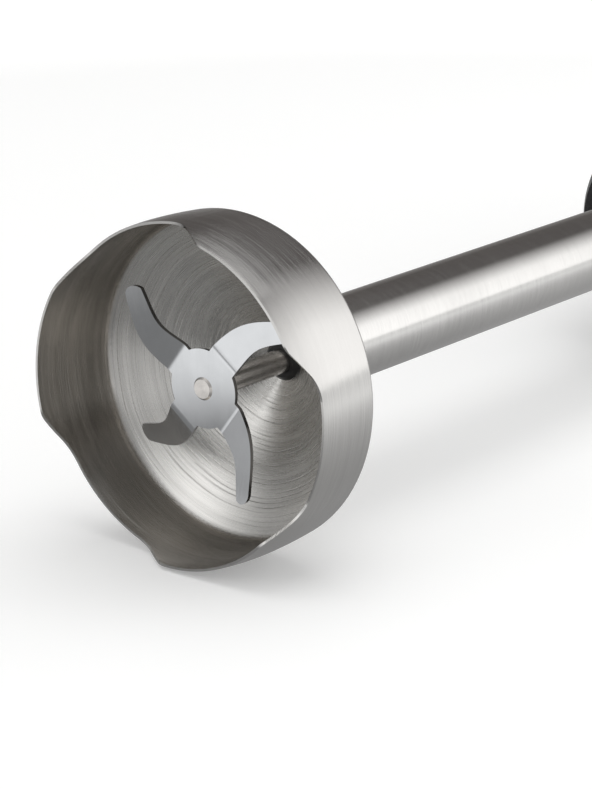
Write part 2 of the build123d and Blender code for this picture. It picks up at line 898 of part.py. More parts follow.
with BuildPart() as housing_back:
    add(housing(split_down).part)
    add(grip_pocket.part, mode=Mode.SUBTRACT)
    for distance, offside in screw_places:
        with BuildSketch(split_down):
            with Locations((body_start + distance, offside), (body_start + distance, -offside)):
                Circle(screw_radius)
        extrude(amount=screw_seat, mode=Mode.SUBTRACT)
        with BuildSketch(split_down.offset(screw_seat)):
            with Locations((body_start + distance, offside), (body_start + distance, -offside)):
                Circle(screw_head_radius + counterbore_clearance)
        extrude(amount=belly_radius, mode=Mode.SUBTRACT)
    add(worktop.part, mode=Mode.SUBTRACT)

with BuildPart() as housing_screws:
    for distance, offside in screw_places:
        places = [(body_start + distance, offside), (body_start + distance, -offside)]
        with BuildSketch(split_down.offset(-screw_reach)):
            with Locations(places):
                Circle(screw_radius)
        extrude(amount=screw_reach + screw_seat)
        with BuildSketch(split_down.offset(screw_seat)):
            with Locations(places):
                Circle(screw_head_radius)
        extrude(amount=screw_head)
        with BuildSketch(split_down.offset(screw_seat + screw_head / 2)):
            with Locations(places):
                Rectangle(screw_head_radius * 1.3, screw_radius / 2)
                Rectangle(screw_radius / 2, screw_head_radius * 1.3)
        extrude(amount=screw_head, mode=Mode.SUBTRACT)

with BuildPart() as soft_grip:
    with BuildSketch(split_down):
        add(body_core(0))
        add(body_core(-soft_depth), mode=Mode.SUBTRACT)
    revolve(axis=axis_line, revolution_arc=180)
    with BuildSketch(split_down):
        with Locations((body_end - soft_at, 0)):
            with GridLocations(soft_rib_pitch, 0, soft_rib_count, 1):
                Rectangle(soft_rib, 4 * belly_radius)
        add(body_core(soft_rib_proud), mode=Mode.INTERSECT)
        add(body_core(-soft_depth / 2), mode=Mode.SUBTRACT)
    revolve(axis=axis_line, revolution_arc=180)
    with BuildSketch(split_down):
        with Locations((body_end - soft_at, 0)):
            SlotOverall(soft_length, soft_width)
    extrude(amount=2 * belly_radius, mode=Mode.INTERSECT)
    add(worktop.part, mode=Mode.SUBTRACT)

with BuildPart() as control_panel:
    with BuildSketch(split_up):
        add(body_core(0))
        add(body_core(-panel_depth), mode=Mode.SUBTRACT)
    revolve(axis=axis_line, revolution_arc=180)
    with BuildSketch(split_up):
        with Locations((panel_middle, 0)):
            SlotOverall(panel_length - 2 * panel_gap, panel_width - 2 * panel_gap)
        for middle in button_middles:
            with Locations((middle, 0)):
                SlotOverall(button_window_length, button_window_width, mode=Mode.SUBTRACT)
    extrude(amount=2 * belly_radius, mode=Mode.INTERSECT)

# ---------------------------------------------------------------- push buttons, switches, board
flange_top = housing_wall + button_slack
flange_bottom = flange_top + button_rise
board_top = board_height + board_thickness
plunger_top = board_top + switch_height + plunger_height


def push_button(middle):
    """Push button over its switch, its top following the handle."""
    with BuildPart() as button:
        with BuildSketch(split_up):
            with Locations((middle, 0)):
                SlotOverall(button_length, button_width)
        extrude(amount=2 * belly_radius)
        with BuildSketch(split_up):
            add(body_core(button_proud))
            add(body_core(-flange_bottom), mode=Mode.SUBTRACT)
        revolve(axis=axis_line, mode=Mode.INTERSECT)
        fillet(button.faces().sort_by(Axis.Z)[-1].edges(), button_round)
    with BuildPart() as flange:
        with BuildSketch(split_up):
            with Locations((middle, 0)):
                SlotOverall(
                    button_window_length + 2 * flange_margin,
                    button_window_width + 2 * flange_margin,
                )
        extrude(amount=2 * belly_radius)
        with BuildSketch(split_up):
            add(body_core(-flange_top))
            add(body_core(-flange_bottom), mode=Mode.SUBTRACT)
        revolve(axis=axis_line, mode=Mode.INTERSECT)
    with BuildPart() as stem:
        with BuildSketch(split_up.offset(plunger_top + button_travel + window_clearance)):
            with Locations((middle, 0)):
                Circle(stem_radius)
        extrude(amount=belly_radius)
        with BuildSketch(split_up):
            add(body_core(-flange_top))
        revolve(axis=axis_line, mode=Mode.INTERSECT)
    with BuildPart() as whole:
        add(button.part)
        add(flange.part)
        add(stem.part)
    return whole


def switch(middle):
    """Small switch on the board with its plunger up."""
    with BuildPart() as body:
        with BuildSketch(split_up.offset(board_top)):
            with Locations((middle, 0)):
                Rectangle(switch_length, switch_width)
        extrude(amount=switch_height)
        with BuildSketch(split_up.offset(board_top + switch_height)):
            with Locations((middle, 0)):
                Circle(plunger_radius)
        extrude(amount=plunger_height)
    return body


turbo_button, on_button = push_button(button_middles[0]), push_button(button_middles[1])
turbo_switch, on_switch = switch(button_middles[0]), switch(button_middles[1])
springs = {}
for name, middle, button in (
    ("turbo_button_spring", button_middles[0], turbo_button),
    ("on_button_spring", button_middles[1], on_button),
):
    spring_x = middle - spring_offset
    probe = Plane(origin=(lip_x + spring_x, 0, axis_height), z_dir=(0, 0, 1))
    column = Pos(lip_x + spring_x, 0, axis_height + belly_radius / 2) * Cylinder(0.5, belly_radius)
    under = button.part & column
    top = under.bounding_box().min.Z - axis_height
    springs[name] = coil_spring(
        probe.offset(board_top), top - board_top - spring_wire, spring_radius, spring_wire, spring_turns
    )
    springs[name].label = name

with BuildPart() as circuit_board:
    with BuildSketch(split_up.offset(board_height)):
        with Locations((board_start + board_length / 2, 0)):
            RectangleRounded(board_length, board_width, 1.5)
    extrude(amount=board_thickness)

with BuildPart() as suppression_capacitor:
    with BuildSketch(split_up.offset(board_height - capacitor_height)):
        with Locations((board_start + board_length - capacitor_length, 0)):
            RectangleRounded(capacitor_length, capacitor_width, 1)
    extrude(amount=capacitor_height)

# ---------------------------------------------------------------- end cap, dial, cable inlet
with BuildPart() as end_cap:
    with BuildSketch(lengthwise):
        Polygon(
            (body_end - cap_tongue, body_end_radius - housing_wall - cap_wall),
            (body_end + cap_wall, body_end_radius - housing_wall - cap_wall),
            (body_end + cap_wall, body_end_radius - cap_wall),
            (recess_floor - cap_wall, body_end_radius - cap_wall),
            (recess_floor - cap_wall, spindle_radius + running_clearance),
            (recess_floor, spindle_radius + running_clearance),
            (recess_floor, dial_radius + dial_gap),
            (cap_end, dial_radius + dial_gap),
            (cap_end, body_end_radius),
            (body_end, body_end_radius),
            (body_end, body_end_radius - housing_wall),
            (body_end - cap_tongue, body_end_radius - housing_wall),
            align=None,
        )
    revolve(axis=axis_line)
    rim_edges = end_cap.edges().filter_by(GeomType.CIRCLE)
    fillet(
        rim_edges.filter_by(lambda e: abs(e.radius - body_end_radius) < 1e-4).sort_by(Axis.X)[-1],
        cap_round,
    )
    fillet(
        rim_edges.filter_by(lambda e: abs(e.radius - dial_radius - dial_gap) < 1e-4).sort_by(Axis.X)[-1],
        edge_round,
    )
    with BuildSketch(across(recess_floor - cap_wall)):
        with Locations((0, -gland_at)):
            Circle(gland_radius)
    extrude(amount=cap_length, mode=Mode.SUBTRACT)
    intake_middle = Vector(lip_x + body_end + (cap_length - cap_round) / 2, 0, axis_height)
    for number in range(intake_count):
        outward = outwards((number + 0.5) * 360 / intake_count)
        start = intake_middle + outward * dial_radius * 1.5
        with BuildSketch(Plane(origin=start, x_dir=(1, 0, 0), z_dir=outward)):
            SlotOverall(intake_length, intake_width)
        extrude(amount=body_end_radius, mode=Mode.SUBTRACT)

with BuildPart() as cable_gland:
    with BuildSketch(across(recess_floor - cap_wall - gland_flange_thickness)):
        with Locations((0, -gland_at)):
            Circle(gland_radius + gland_flange)
    extrude(amount=gland_flange_thickness)
    with BuildSketch(across(recess_floor - cap_wall)):
        with Locations((0, -gland_at)):
            Circle(gland_radius)
    extrude(amount=cap_end + gland_nose - recess_floor + cap_wall)
    with BuildSketch(across(cap_end)):
        with Locations((0, -gland_at)):
            Circle(gland_radius + gland_flange)
    extrude(amount=gland_flange_thickness)
    fillet(cable_gland.edges().group_by(Axis.X)[-1], edge_round)
    with BuildSketch(across(recess_floor - cap_wall - gland_flange_thickness)):
        with Locations((0, -gland_at)):
            Circle(gland_bore)
    extrude(amount=2 * cap_length, mode=Mode.SUBTRACT)

with BuildPart() as speed_dial:
    with BuildSketch(across(dial_start)):
        Circle(dial_radius)
    extrude(amount=dial_height)
    fillet(speed_dial.edges().group_by(Axis.X)[-1], dial_round)
    with BuildSketch(across(dial_start + dial_recess)):
        with PolarLocations(dial_radius + dial_groove_off, dial_grooves):
            Circle(dial_groove)
    extrude(amount=dial_height, mode=Mode.SUBTRACT)
    with BuildSketch(across(dial_start)):
        Circle(spindle_radius)
    extrude(amount=spindle_in_dial, mode=Mode.SUBTRACT)

with BuildPart() as dial_spindle:
    with BuildSketch(across(dial_start + spindle_in_dial - spindle_length)):
        Circle(spindle_radius)
    extrude(amount=spindle_length)

with BuildPart() as potentiometer:
    pot_end = recess_floor - cap_wall - pot_flat
    with BuildSketch(across(pot_end - pot_length)):
        Circle(pot_radius)
    extrude(amount=pot_length)
    with BuildSketch(across(pot_end)):
        Circle(pot_bush_radius)
    extrude(amount=recess_floor - cap_wall - pot_end)
    with BuildSketch(across(dial_start + spindle_in_dial - spindle_length - axial_gap)):
        Circle(spindle_radius + running_clearance)
    extrude(amount=spindle_length, mode=Mode.SUBTRACT)

# ---------------------------------------------------------------- motor: still pieces
slot_inner = rotor_radius + air_gap + 0.4
slot_bottom = stack_height / 2 - 3.8 - coil_leg
bolt_places = [(0, bolt_circle), (0, -bolt_circle)]

with BuildPart() as stator_core:
    with BuildSketch(across(stack_start)):
        RectangleRounded(stack_width, stack_height, stack_corner)
        Circle(rotor_radius + air_gap, mode=Mode.SUBTRACT)
        for side_y in (1, -1):
            for side_z in (1, -1):
                middle_y = side_y * (slot_inner + coil_thickness / 2)
                middle_z = side_z * (slot_bottom + coil_leg / 2)
                with Locations((middle_y, middle_z)):
                    Rectangle(
                        coil_thickness + 2 * coil_clearance,
                        coil_leg + 2 * coil_clearance,
                        mode=Mode.SUBTRACT,
                    )
        with Locations(bolt_places):
            Circle(bolt_radius, mode=Mode.SUBTRACT)
    extrude(amount=stack_length)

with BuildPart() as stator_coils:
    for side in (1, -1):
        coil_plane = Plane(origin=(lip_x, 0, axis_height), x_dir=(1, 0, 0), z_dir=(0, side, 0))
        with BuildSketch(coil_plane.offset(slot_inner)):
            with Locations((stack_start + stack_length / 2, 0)):
                RectangleRounded(stack_length + 2 * coil_overhang, 2 * (slot_bottom + coil_leg), 3)
                Rectangle(stack_length + 2 * coil_clearance, 2 * slot_bottom, mode=Mode.SUBTRACT)
        extrude(amount=coil_thickness)

with BuildPart() as front_bracket:
    with BuildSketch(across(bracket_start)):
        Circle(bracket_radius)
        with PolarLocations((bracket_radius + motor_bearing_radius + bracket_hub) / 2, 6):
            Circle(4, mode=Mode.SUBTRACT)
    extrude(amount=bracket_thickness)
    with BuildSketch(across(front_bearing_start)):
        Circle(motor_bearing_radius + bracket_hub)
    extrude(amount=bearing_length)
    with BuildSketch(across(bracket_start)):
        with Locations(bolt_places):
            Circle(post_radius)
    extrude(amount=stack_start - bracket_start)
    with BuildSketch(across(front_bearing_start)):
        Circle(motor_bearing_radius)
        with Locations(bolt_places):
            Circle(bolt_radius)
    extrude(amount=stack_length, mode=Mode.SUBTRACT)

with BuildPart() as rear_bracket:
    with BuildSketch(across(rear_bracket_start)):
        Circle(bracket_radius)
    extrude(amount=bracket_thickness)
    with BuildSketch(across(rear_bracket_start)):
        Circle(tower_radius)
    extrude(amount=tower_end + bearing_length - rear_bracket_start)
    with BuildSketch(across(stack_end)):
        with Locations(bolt_places):
            Circle(post_radius)
    extrude(amount=rear_bracket_start - stack_end)
    with BuildSketch(across(rear_bracket_start)):
        Circle(tower_radius - tower_wall)
    extrude(amount=tower_end - rear_bracket_start, mode=Mode.SUBTRACT)
    with BuildSketch(across(stack_end)):
        Circle(motor_bearing_radius)
        with Locations(bolt_places):
            Circle(bolt_radius)
    extrude(amount=2 * stack_length + bearing_length, mode=Mode.SUBTRACT)
    # windows that the brush holders stand in
    with BuildSketch(lengthwise):
        with Locations((brush_at, 0)):
            Rectangle(brush_width + 2 * holder_wall, brush_thickness + 2 * holder_wall)
    extrude(amount=bracket_radius, both=True, mode=Mode.SUBTRACT)

with BuildPart() as front_bearing:
    with BuildSketch(lengthwise):
        band(
            front_bearing_start,
            front_bearing_start + bearing_length,
            motor_shaft_radius + running_clearance,
            motor_bearing_radius,
        )
    revolve(axis=axis_line)

with BuildPart() as rear_bearing:
    with BuildSketch(lengthwise):
        band(
            tower_end,
            tower_end + bearing_length,
            motor_shaft_radius + running_clearance,
            motor_bearing_radius,
        )
    revolve(axis=axis_line)

with BuildPart() as front_mount_ring:
    with BuildSketch(lengthwise):
        band(bracket_start, bracket_start + bracket_thickness, bracket_radius, rib_radius)
    revolve(axis=axis_line)

with BuildPart() as rear_mount_ring:
    with BuildSketch(lengthwise):
        band(rear_bracket_start, rear_bracket_start + bracket_thickness, bracket_radius, rib_radius)
    revolve(axis=axis_line)

with BuildPart() as motor_bolts:
    with BuildSketch(across(bracket_start)):
        with Locations(bolt_places):
            Circle(bolt_radius)
    extrude(amount=rear_bracket_start + bracket_thickness - bracket_start + bolt_head)
    with BuildSketch(across(rear_bracket_start + bracket_thickness)):
        with Locations(bolt_places):
            Circle(bolt_head_radius)
    extrude(amount=bolt_head)

brush_face = commutator_radius + brush_gap
with BuildPart() as brush_holders:
    for side in (1, -1):
        brush_plane = Plane(origin=(lip_x, 0, axis_height), x_dir=(1, 0, 0), z_dir=(0, side, 0))
        with BuildSketch(brush_plane.offset(commutator_radius + 4 * brush_gap)):
            with Locations((brush_at, 0)):
                Rectangle(brush_width + 2 * holder_wall, brush_thickness + 2 * holder_wall)
                Rectangle(brush_width, brush_thickness, mode=Mode.SUBTRACT)
        extrude(amount=holder_length)
        with BuildSketch(brush_plane.offset(commutator_radius + 4 * brush_gap + holder_length)):
            with Locations((brush_at, 0)):
                Rectangle(brush_width + 2 * holder_wall, brush_thickness + 2 * holder_wall)
        extrude(amount=holder_wall)

with BuildPart() as carbon_brushes:
    for side in (1, -1):
        brush_plane = Plane(origin=(lip_x, 0, axis_height), x_dir=(1, 0, 0), z_dir=(0, side, 0))
        with BuildSketch(brush_plane.offset(brush_face)):
            with Locations((brush_at, 0)):
                Rectangle(brush_width, brush_thickness)
        extrude(amount=brush_length)

with BuildPart() as brush_springs:
    for side in (1, -1):
        spring_foot = Plane(
            origin=(lip_x + brush_at, side * (brush_face + brush_length), axis_height), z_dir=(0, side, 0)
        )
        spring_space = commutator_radius + 4 * brush_gap + holder_length - brush_face - brush_length
        add(coil_spring(spring_foot, spring_space, brush_spring_radius, brush_spring_wire, 3))

# ---------------------------------------------------------------- motor: rotor
with BuildPart() as motor_shaft:
    with BuildSketch(lengthwise):
        Polygon(
            (driver_start, 0),
            (driver_start, motor_nose_radius),
            (driver_start + driver_length, motor_nose_radius),
            (driver_start + driver_length, motor_shaft_radius),
            (motor_shaft_end, motor_shaft_radius),
            (motor_shaft_end, 0),
            align=None,
        )
    revolve(axis=axis_line)

with BuildPart() as drive_coupling:
    with BuildSketch(across(driver_start)):
        Circle(driver_radius)
        Circle(motor_nose_radius, mode=Mode.SUBTRACT)
    extrude(amount=driver_length)
    with BuildSketch(across(driver_start - hexagon_length)):
        RegularPolygon(hexagon_flats / 2, 6, major_radius=False)
    extrude(amount=hexagon_length)

with BuildPart() as rotor_core:
    with BuildSketch(across(stack_start)):
        Circle(rotor_radius)
        Circle(motor_shaft_radius, mode=Mode.SUBTRACT)
        with PolarLocations(bar_circle, rotor_slots):
            Circle(bar_radius + bar_clearance, mode=Mode.SUBTRACT)
    extrude(amount=stack_length)

with BuildPart() as rotor_windings:
    with BuildSketch(lengthwise):
        for start in (stack_start - winding_head, stack_end):
            band(start, start + winding_head, motor_shaft_radius + 1, bar_circle + bar_radius + winding_rim)
    revolve(axis=axis_line)
    with BuildSketch(across(stack_start)):
        with PolarLocations(bar_circle, rotor_slots):
            Circle(bar_radius)
    extrude(amount=stack_length)

with BuildPart() as commutator:
    with BuildSketch(lengthwise):
        band(commutator_start, commutator_end, motor_shaft_radius, commutator_radius)
    revolve(axis=axis_line)
    with BuildSketch(across(commutator_start)):
        with PolarLocations(commutator_radius, commutator_bars):
            Rectangle(2, segment_gap)
    extrude(amount=commutator_length, mode=Mode.SUBTRACT)

with BuildPart() as cooling_fan:
    fan_start = front_bearing_start - fan_length - fan_gap
    with BuildSketch(across(fan_start)):
        Circle(motor_shaft_radius + 3)
    extrude(amount=fan_length)
    with BuildSketch(across(fan_start + fan_length - fan_plate)):
        Circle(fan_radius)
    extrude(amount=fan_plate)
    with BuildSketch(across(fan_start)):
        with PolarLocations((fan_radius + motor_shaft_radius) / 2 + 2, fan_blades):
            Rectangle(fan_radius - motor_shaft_radius - 5, fan_blade_thickness, rotation=20)
    extrude(amount=fan_length)
    with BuildSketch(across(fan_start)):
        Circle(motor_shaft_radius)
    extrude(amount=fan_length, mode=Mode.SUBTRACT)

# ---------------------------------------------------------------- files
pieces = {
    "bell_guard": bell_guard.part,
    "shaft_tube": shaft_tube.part,
    "shaft_seal": shaft_seal.part,
    "bearing_carrier": bearing_carrier.part,
    "lower_bush": lower_bush.part,
    "shaft_liner": shaft_liner.part,
    "middle_bush": middle_bush.part,
    "upper_carrier": upper_carrier.part,
    "upper_bush": upper_bush.part,
    "thrust_washer": thrust_washer.part,
    "collar_core": collar_core.part,
    "collar_shell": collar_shell.part,
    "collar_seal": collar_seal.part,
    "blade": blade.part,
    "drive_shaft": drive_shaft.part,
    "shaft_clip": shaft_clip.part,
    "driven_coupling": driven_coupling.part,
    "handle_nose": handle_nose.part,
    "latch_ring": latch_ring.part,
    "release_button_left": release_button_left.part,
    "release_button_right": release_button_right.part,
    "trim_ring": trim_ring.part,
    "housing_top": housing_top.part,
    "housing_back": housing_back.part,
    "housing_screws": housing_screws.part,
    "soft_grip": soft_grip.part,
    "control_panel": control_panel.part,
    "turbo_button": turbo_button.part,
    "on_button": on_button.part,
    "turbo_switch": turbo_switch.part,
    "on_switch": on_switch.part,
    "turbo_button_spring": springs["turbo_button_spring"],
    "on_button_spring": springs["on_button_spring"],
    "circuit_board": circuit_board.part,
    "suppression_capacitor": suppression_capacitor.part,
    "end_cap": end_cap.part,
    "cable_gland": cable_gland.part,
    "speed_dial": speed_dial.part,
    "dial_spindle": dial_spindle.part,
    "potentiometer": potentiometer.part,
    "stator_core": stator_core.part,
    "stator_coils": stator_coils.part,
    "front_bracket": front_bracket.part,
    "rear_bracket": rear_bracket.part,
    "front_bearing": front_bearing.part,
    "rear_bearing": rear_bearing.part,
    "front_mount_ring": front_mount_ring.part,
    "rear_mount_ring": rear_mount_ring.part,
    "motor_bolts": motor_bolts.part,
    "brush_holders": brush_holders.part,
    "carbon_brushes": carbon_brushes.part,
    "brush_springs": brush_springs.part,
    "motor_shaft": motor_shaft.part,
    "drive_coupling": drive_coupling.part,
    "rotor_core": rotor_core.part,
    "rotor_windings": rotor_windings.part,
    "commutator": commutator.part,
    "cooling_fan": cooling_fan.part,
}
os.makedirs("parts", exist_ok=True)
for name, piece in pieces.items():
    piece.label = name
    export_step(piece, f"parts/{name}.step")
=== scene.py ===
from math import cos, pi, radians, sin

import bmesh
import bpy
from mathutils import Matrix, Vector
from mathutils.bvhtree import BVHTree


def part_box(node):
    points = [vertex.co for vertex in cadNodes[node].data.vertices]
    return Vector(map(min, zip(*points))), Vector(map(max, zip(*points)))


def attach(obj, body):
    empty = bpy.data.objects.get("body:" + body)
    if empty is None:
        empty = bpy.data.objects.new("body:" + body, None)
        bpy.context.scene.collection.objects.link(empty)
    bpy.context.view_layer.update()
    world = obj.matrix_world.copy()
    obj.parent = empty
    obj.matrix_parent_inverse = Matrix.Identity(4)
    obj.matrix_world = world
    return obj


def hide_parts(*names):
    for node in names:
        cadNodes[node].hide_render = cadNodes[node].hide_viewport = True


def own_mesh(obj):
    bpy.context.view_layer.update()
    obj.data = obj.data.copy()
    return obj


# Hand blender lying on a white table, the steel bell and blade in front and the black handle behind
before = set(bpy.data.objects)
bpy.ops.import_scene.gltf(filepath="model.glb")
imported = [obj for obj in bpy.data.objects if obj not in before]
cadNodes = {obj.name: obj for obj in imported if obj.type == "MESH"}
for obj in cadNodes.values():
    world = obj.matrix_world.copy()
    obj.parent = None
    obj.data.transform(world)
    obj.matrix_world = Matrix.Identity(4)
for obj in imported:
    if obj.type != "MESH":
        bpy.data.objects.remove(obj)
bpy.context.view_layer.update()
print("frame in,", len(cadNodes), "nodes")

# the blender's axis runs along X at this height, and lipAt is the bell's lip
bellLow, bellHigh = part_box("bell_guard")
axisHeight = (bellLow.z + bellHigh.z) / 2
lipAt = bellLow.x


def addObject(name, data):
    thing = bpy.data.objects.new(name, data)
    bpy.context.collection.objects.link(thing)
    return thing


# camera, in front of the bell and a little above it
cameraSetup = {
    "place": (-0.5333, -0.2907, 0.1705),
    "looks": (0.7566, 0.5852, -0.2916),
    "lens": 112.7,
    "sensor": 36,
    "clip": (0.01, 50),
}


def makeCamera():
    setup = cameraSetup
    lensData = bpy.data.cameras.new("tableCamera")
    lensData.sensor_width = setup["sensor"]
    lensData.lens = setup["lens"]
    lensData.clip_start, lensData.clip_end = setup["clip"]
    camera = addObject("tableCamera", lensData)
    camera.location = setup["place"]
    camera.rotation_euler = Vector(setup["looks"]).to_track_quat("-Z", "Y").to_euler()
    bpy.context.scene.camera = camera


makeCamera()
bpy.context.scene.view_settings.view_transform = "Standard"

# node helpers
noiseSpan = (0.3, 0.7)  # most values of a noise lie between these
grainRough = 0.6  # how much of a grain is its finest detail


def addNode(tree, kind, inputs=None, **settings):
    node = tree.nodes.new("ShaderNode" + kind)
    for key, value in settings.items():
        setattr(node, key, value)
    for key, value in (inputs or {}).items():
        if isinstance(value, bpy.types.NodeSocket):
            tree.links.new(value, node.inputs[key])
        else:
            node.inputs[key].default_value = value
    return node


def newFinish(name, **sockets):
    finish = bpy.data.materials.new(name)
    finish.use_nodes = True
    tree = finish.node_tree
    tree.nodes.clear()
    shader = addNode(tree, "BsdfPrincipled", sockets)
    addNode(tree, "OutputMaterial", {"Surface": shader.outputs["BSDF"]})
    return finish, tree, shader


def rampOf(tree, source, stops):
    # the first and last stop stand at 0 and 1
    ramp = addNode(tree, "ValToRGB", {"Fac": source})
    elements = ramp.color_ramp.elements
    for stop in stops[1:-1]:
        elements.new(stop[0])
    for element, stop in zip(elements, stops):
        shade = stop[1]
        element.color = (*shade, 1) if isinstance(shade, tuple) else (shade, shade, shade, 1)
    return ramp.outputs["Color"]


def spread(tree, source, low, high, fromLow=0.0, fromHigh=1.0):
    limits = {"From Min": fromLow, "From Max": fromHigh, "To Min": low, "To Max": high}
    return addNode(tree, "MapRange", {"Value": source, **limits}).outputs["Result"]


def fromNoise(tree, noise, low, high):
    return spread(tree, noise, low, high, *noiseSpan)


def calc(tree, operation, *values):
    return addNode(tree, "Math", dict(enumerate(values)), operation=operation).outputs[0]


def vectorOf(tree, operation, *values):
    node = addNode(tree, "VectorMath", dict(enumerate(values)), operation=operation)
    single = operation in ("LENGTH", "DISTANCE", "DOT_PRODUCT")
    return node.outputs["Value" if single else "Vector"]


def partOf(tree, vector, axis):
    return addNode(tree, "SeparateXYZ", {0: vector}).outputs[axis]


def blendOf(tree, amount, first, second, kind="MIX"):
    node = addNode(tree, "Mix", data_type="RGBA", blend_type=kind)
    pairs = ((node.inputs[0], amount), (node.inputs[6], first), (node.inputs[7], second))
    for socket, value in pairs:
        if isinstance(value, bpy.types.NodeSocket):
            tree.links.new(value, socket)
        else:
            socket.default_value = value if socket.type == "VALUE" else (*value, 1)
    return node.outputs[2]


def greyOf(tree, shade):
    return addNode(tree, "CombineXYZ", {"X": shade, "Y": shade, "Z": shade}).outputs["Vector"]


def shaded(tree, colour, shade):
    return blendOf(tree, 1.0, colour, greyOf(tree, shade), "MULTIPLY")


def noiseOf(tree, vector, scale, detail=2.0, rough=0.5):
    inputs = {"Vector": vector, "Scale": scale, "Detail": detail, "Roughness": rough}
    return addNode(tree, "TexNoise", inputs).outputs["Fac"]


def axisPlace(tree):
    # place on the piece, measured from where the axis passes the lip
    place = addNode(tree, "TexCoord").outputs["Object"]
    return vectorOf(tree, "ADD", place, (-lipAt, 0, -axisHeight))


def stretched(tree, vector, scales):
    return vectorOf(tree, "MULTIPLY", vector, scales)


def bumpOf(tree, height, depth, strength=1.0, normal=None):
    inputs = {"Height": height, "Distance": depth, "Strength": strength}
    if normal is not None:
        inputs["Normal"] = normal
    return addNode(tree, "Bump", inputs).outputs["Normal"]


# table top and light
boardSize = 7.0
white = (1.0, 1.0, 1.0)


def makeBoard(name, finish):
    # a square lying at table height
    half = boardSize / 2
    mesh = bpy.data.meshes.new(name)
    corners = [(-half, -half, 0), (half, -half, 0), (half, half, 0), (-half, half, 0)]
    mesh.from_pydata(corners, [], [(0, 1, 2, 3)])
    mesh.materials.append(finish)
    return addObject(name, mesh)


table = {
    "colour": (0.86, 0.86, 0.855),
    "cloudScale": 3.0,
    "cloudShade": 0.985,
    "roughness": 0.85,
    "specular": 0.2,
    "lift": 0.205,
    "whiteFrom": (0.45, 1.3),  # further out it goes over into the white of the room
}


def makeTable():
    look = table
    finish, tree, shader = newFinish("tableLaminate", Roughness=look["roughness"])
    shader.inputs["Specular IOR Level"].default_value = look["specular"]
    place = addNode(tree, "TexCoord").outputs["Object"]
    cloud = fromNoise(tree, noiseOf(tree, place, look["cloudScale"]), 0.0, 1.0)
    second = tuple(part * look["cloudShade"] for part in look["colour"])
    tree.links.new(blendOf(tree, cloud, look["colour"], second), shader.inputs["Base Color"])
    seen = addNode(tree, "LightPath").outputs
    shown = calc(tree, "MAXIMUM", seen["Is Camera Ray"], seen["Is Glossy Ray"])
    shown = calc(tree, "MAXIMUM", shown, seen["Is Transmission Ray"])
    shader.inputs["Emission Color"].default_value = (*white, 1)
    lift = spread(tree, vectorOf(tree, "LENGTH", place), look["lift"], 1.0, *look["whiteFrom"])
    tree.links.new(calc(tree, "MULTIPLY", shown, lift), shader.inputs["Emission Strength"])
    tableTop = makeBoard("tableTop", finish)


# painted reflection: a glowing card only the gloss sees, with a painted shadow before the bell's
# mouth
paintedReflectionCard = {
    "height": 0.0003,
    # shades along Y: the right half from the back to the front, the left half from front to back
    "right": (
        (0.0, 0.36), (0.10, 0.34), (0.22, 0.40), (0.32, 0.62), (0.40, 0.84), (0.50, 1.06),
        (0.62, 0.97), (0.80, 0.90), (1.0, 0.86),
    ),
    "rightSpan": (-0.4, 0.1),
    "left": (
        (0.0, 0.60), (0.30, 0.60), (0.42, 0.56), (0.53, 1.04), (0.60, 1.16), (0.72, 1.16),
        (0.79, 0.54), (0.88, 0.38), (0.95, 0.52), (1.0, 0.50),
    ),
    "leftSpan": (-0.20, 0.25),
    "halvesMeet": (-0.30, -0.20),
    "shareByBell": 0.76,
    "shareByHandle": 1.12,
    "shareSpan": (-0.16, -0.02),
    # the pool is a painted shadow of the bell, as the steel sees it in the card
    "poolAt": (-0.225, 0.02, 0),
    "poolReach": (0.03, 0.07),
    "poolShade": 0.26,
}


def makePaintedReflection():
    look = paintedReflectionCard
    finish = bpy.data.materials.new("paintedReflectionGlow")
    finish.use_nodes = True
    tree = finish.node_tree
    tree.nodes.clear()
    place = addNode(tree, "TexCoord").outputs["Object"]
    along, sideways = partOf(tree, place, "X"), partOf(tree, place, "Y")
    right = rampOf(tree, spread(tree, sideways, 1.0, 0.0, *look["rightSpan"]), look["right"])
    share = spread(tree, along, look["shareByBell"], look["shareByHandle"], *look["shareSpan"])
    right = addNode(tree, "VectorMath", {0: right, "Scale": share}, operation="SCALE")
    left = rampOf(tree, spread(tree, sideways, 0.0, 1.0, *look["leftSpan"]), look["left"])
    onLeft = spread(tree, along, 1.0, 0.0, *look["halvesMeet"])
    shade = blendOf(tree, onLeft, right.outputs["Vector"], left)
    # painted shadow: the card goes dark in a pool before the bell's mouth
    away = vectorOf(tree, "DISTANCE", place, look["poolAt"])
    paintedShadowPool = spread(tree, away, 1.0, 0.0, *look["poolReach"])
    shade = blendOf(tree, paintedShadowPool, shade, (look["poolShade"],) * 3)
    # the card glows, though it is no lamp: painted reflection for the steel
    glow = addNode(tree, "Emission", {"Color": shade, "Strength": 1.0})
    addNode(tree, "OutputMaterial", {"Surface": glow.outputs["Emission"]})
    reflectionBoard = makeBoard("paintedReflectionBoard", finish)
    reflectionBoard.location.z = look["height"]
    reflectionBoard.visible_camera = reflectionBoard.visible_diffuse = reflectionBoard.visible_shadow = False
    reflectionBoard.visible_transmission = reflectionBoard.visible_volume_scatter = False


lampBoxes = (
    # name, middle, aims at, width, length, radiance, shows in gloss
    ("sideBox", (0.66, -0.59, 0.38), (-0.10, 0, 0.03), 0.80, 0.74, 1.42, False),
    ("frontBox", (-0.94, 0.13, 0.50), (-0.18, 0, 0.035), 0.55, 0.46, 1.4, False),
    ("topBox", (0.0, 0.0, 1.7), (0, 0, 0), 1.7, 1.7, 1.25, True),
)


def makeLamps():
    for name, middle, aim, width, length, radiance, glossy in lampBoxes:
        data = bpy.data.lights.new(name, "AREA")
        data.shape, data.size, data.size_y = "RECTANGLE", width, length
        data.energy = radiance * pi * width * length
        lamp = addObject(name, data)
        lamp.location = middle
        lamp.rotation_euler = (Vector(aim) - Vector(middle)).to_track_quat("-Z", "Y").to_euler()
        lamp.visible_camera, lamp.visible_glossy = False, glossy


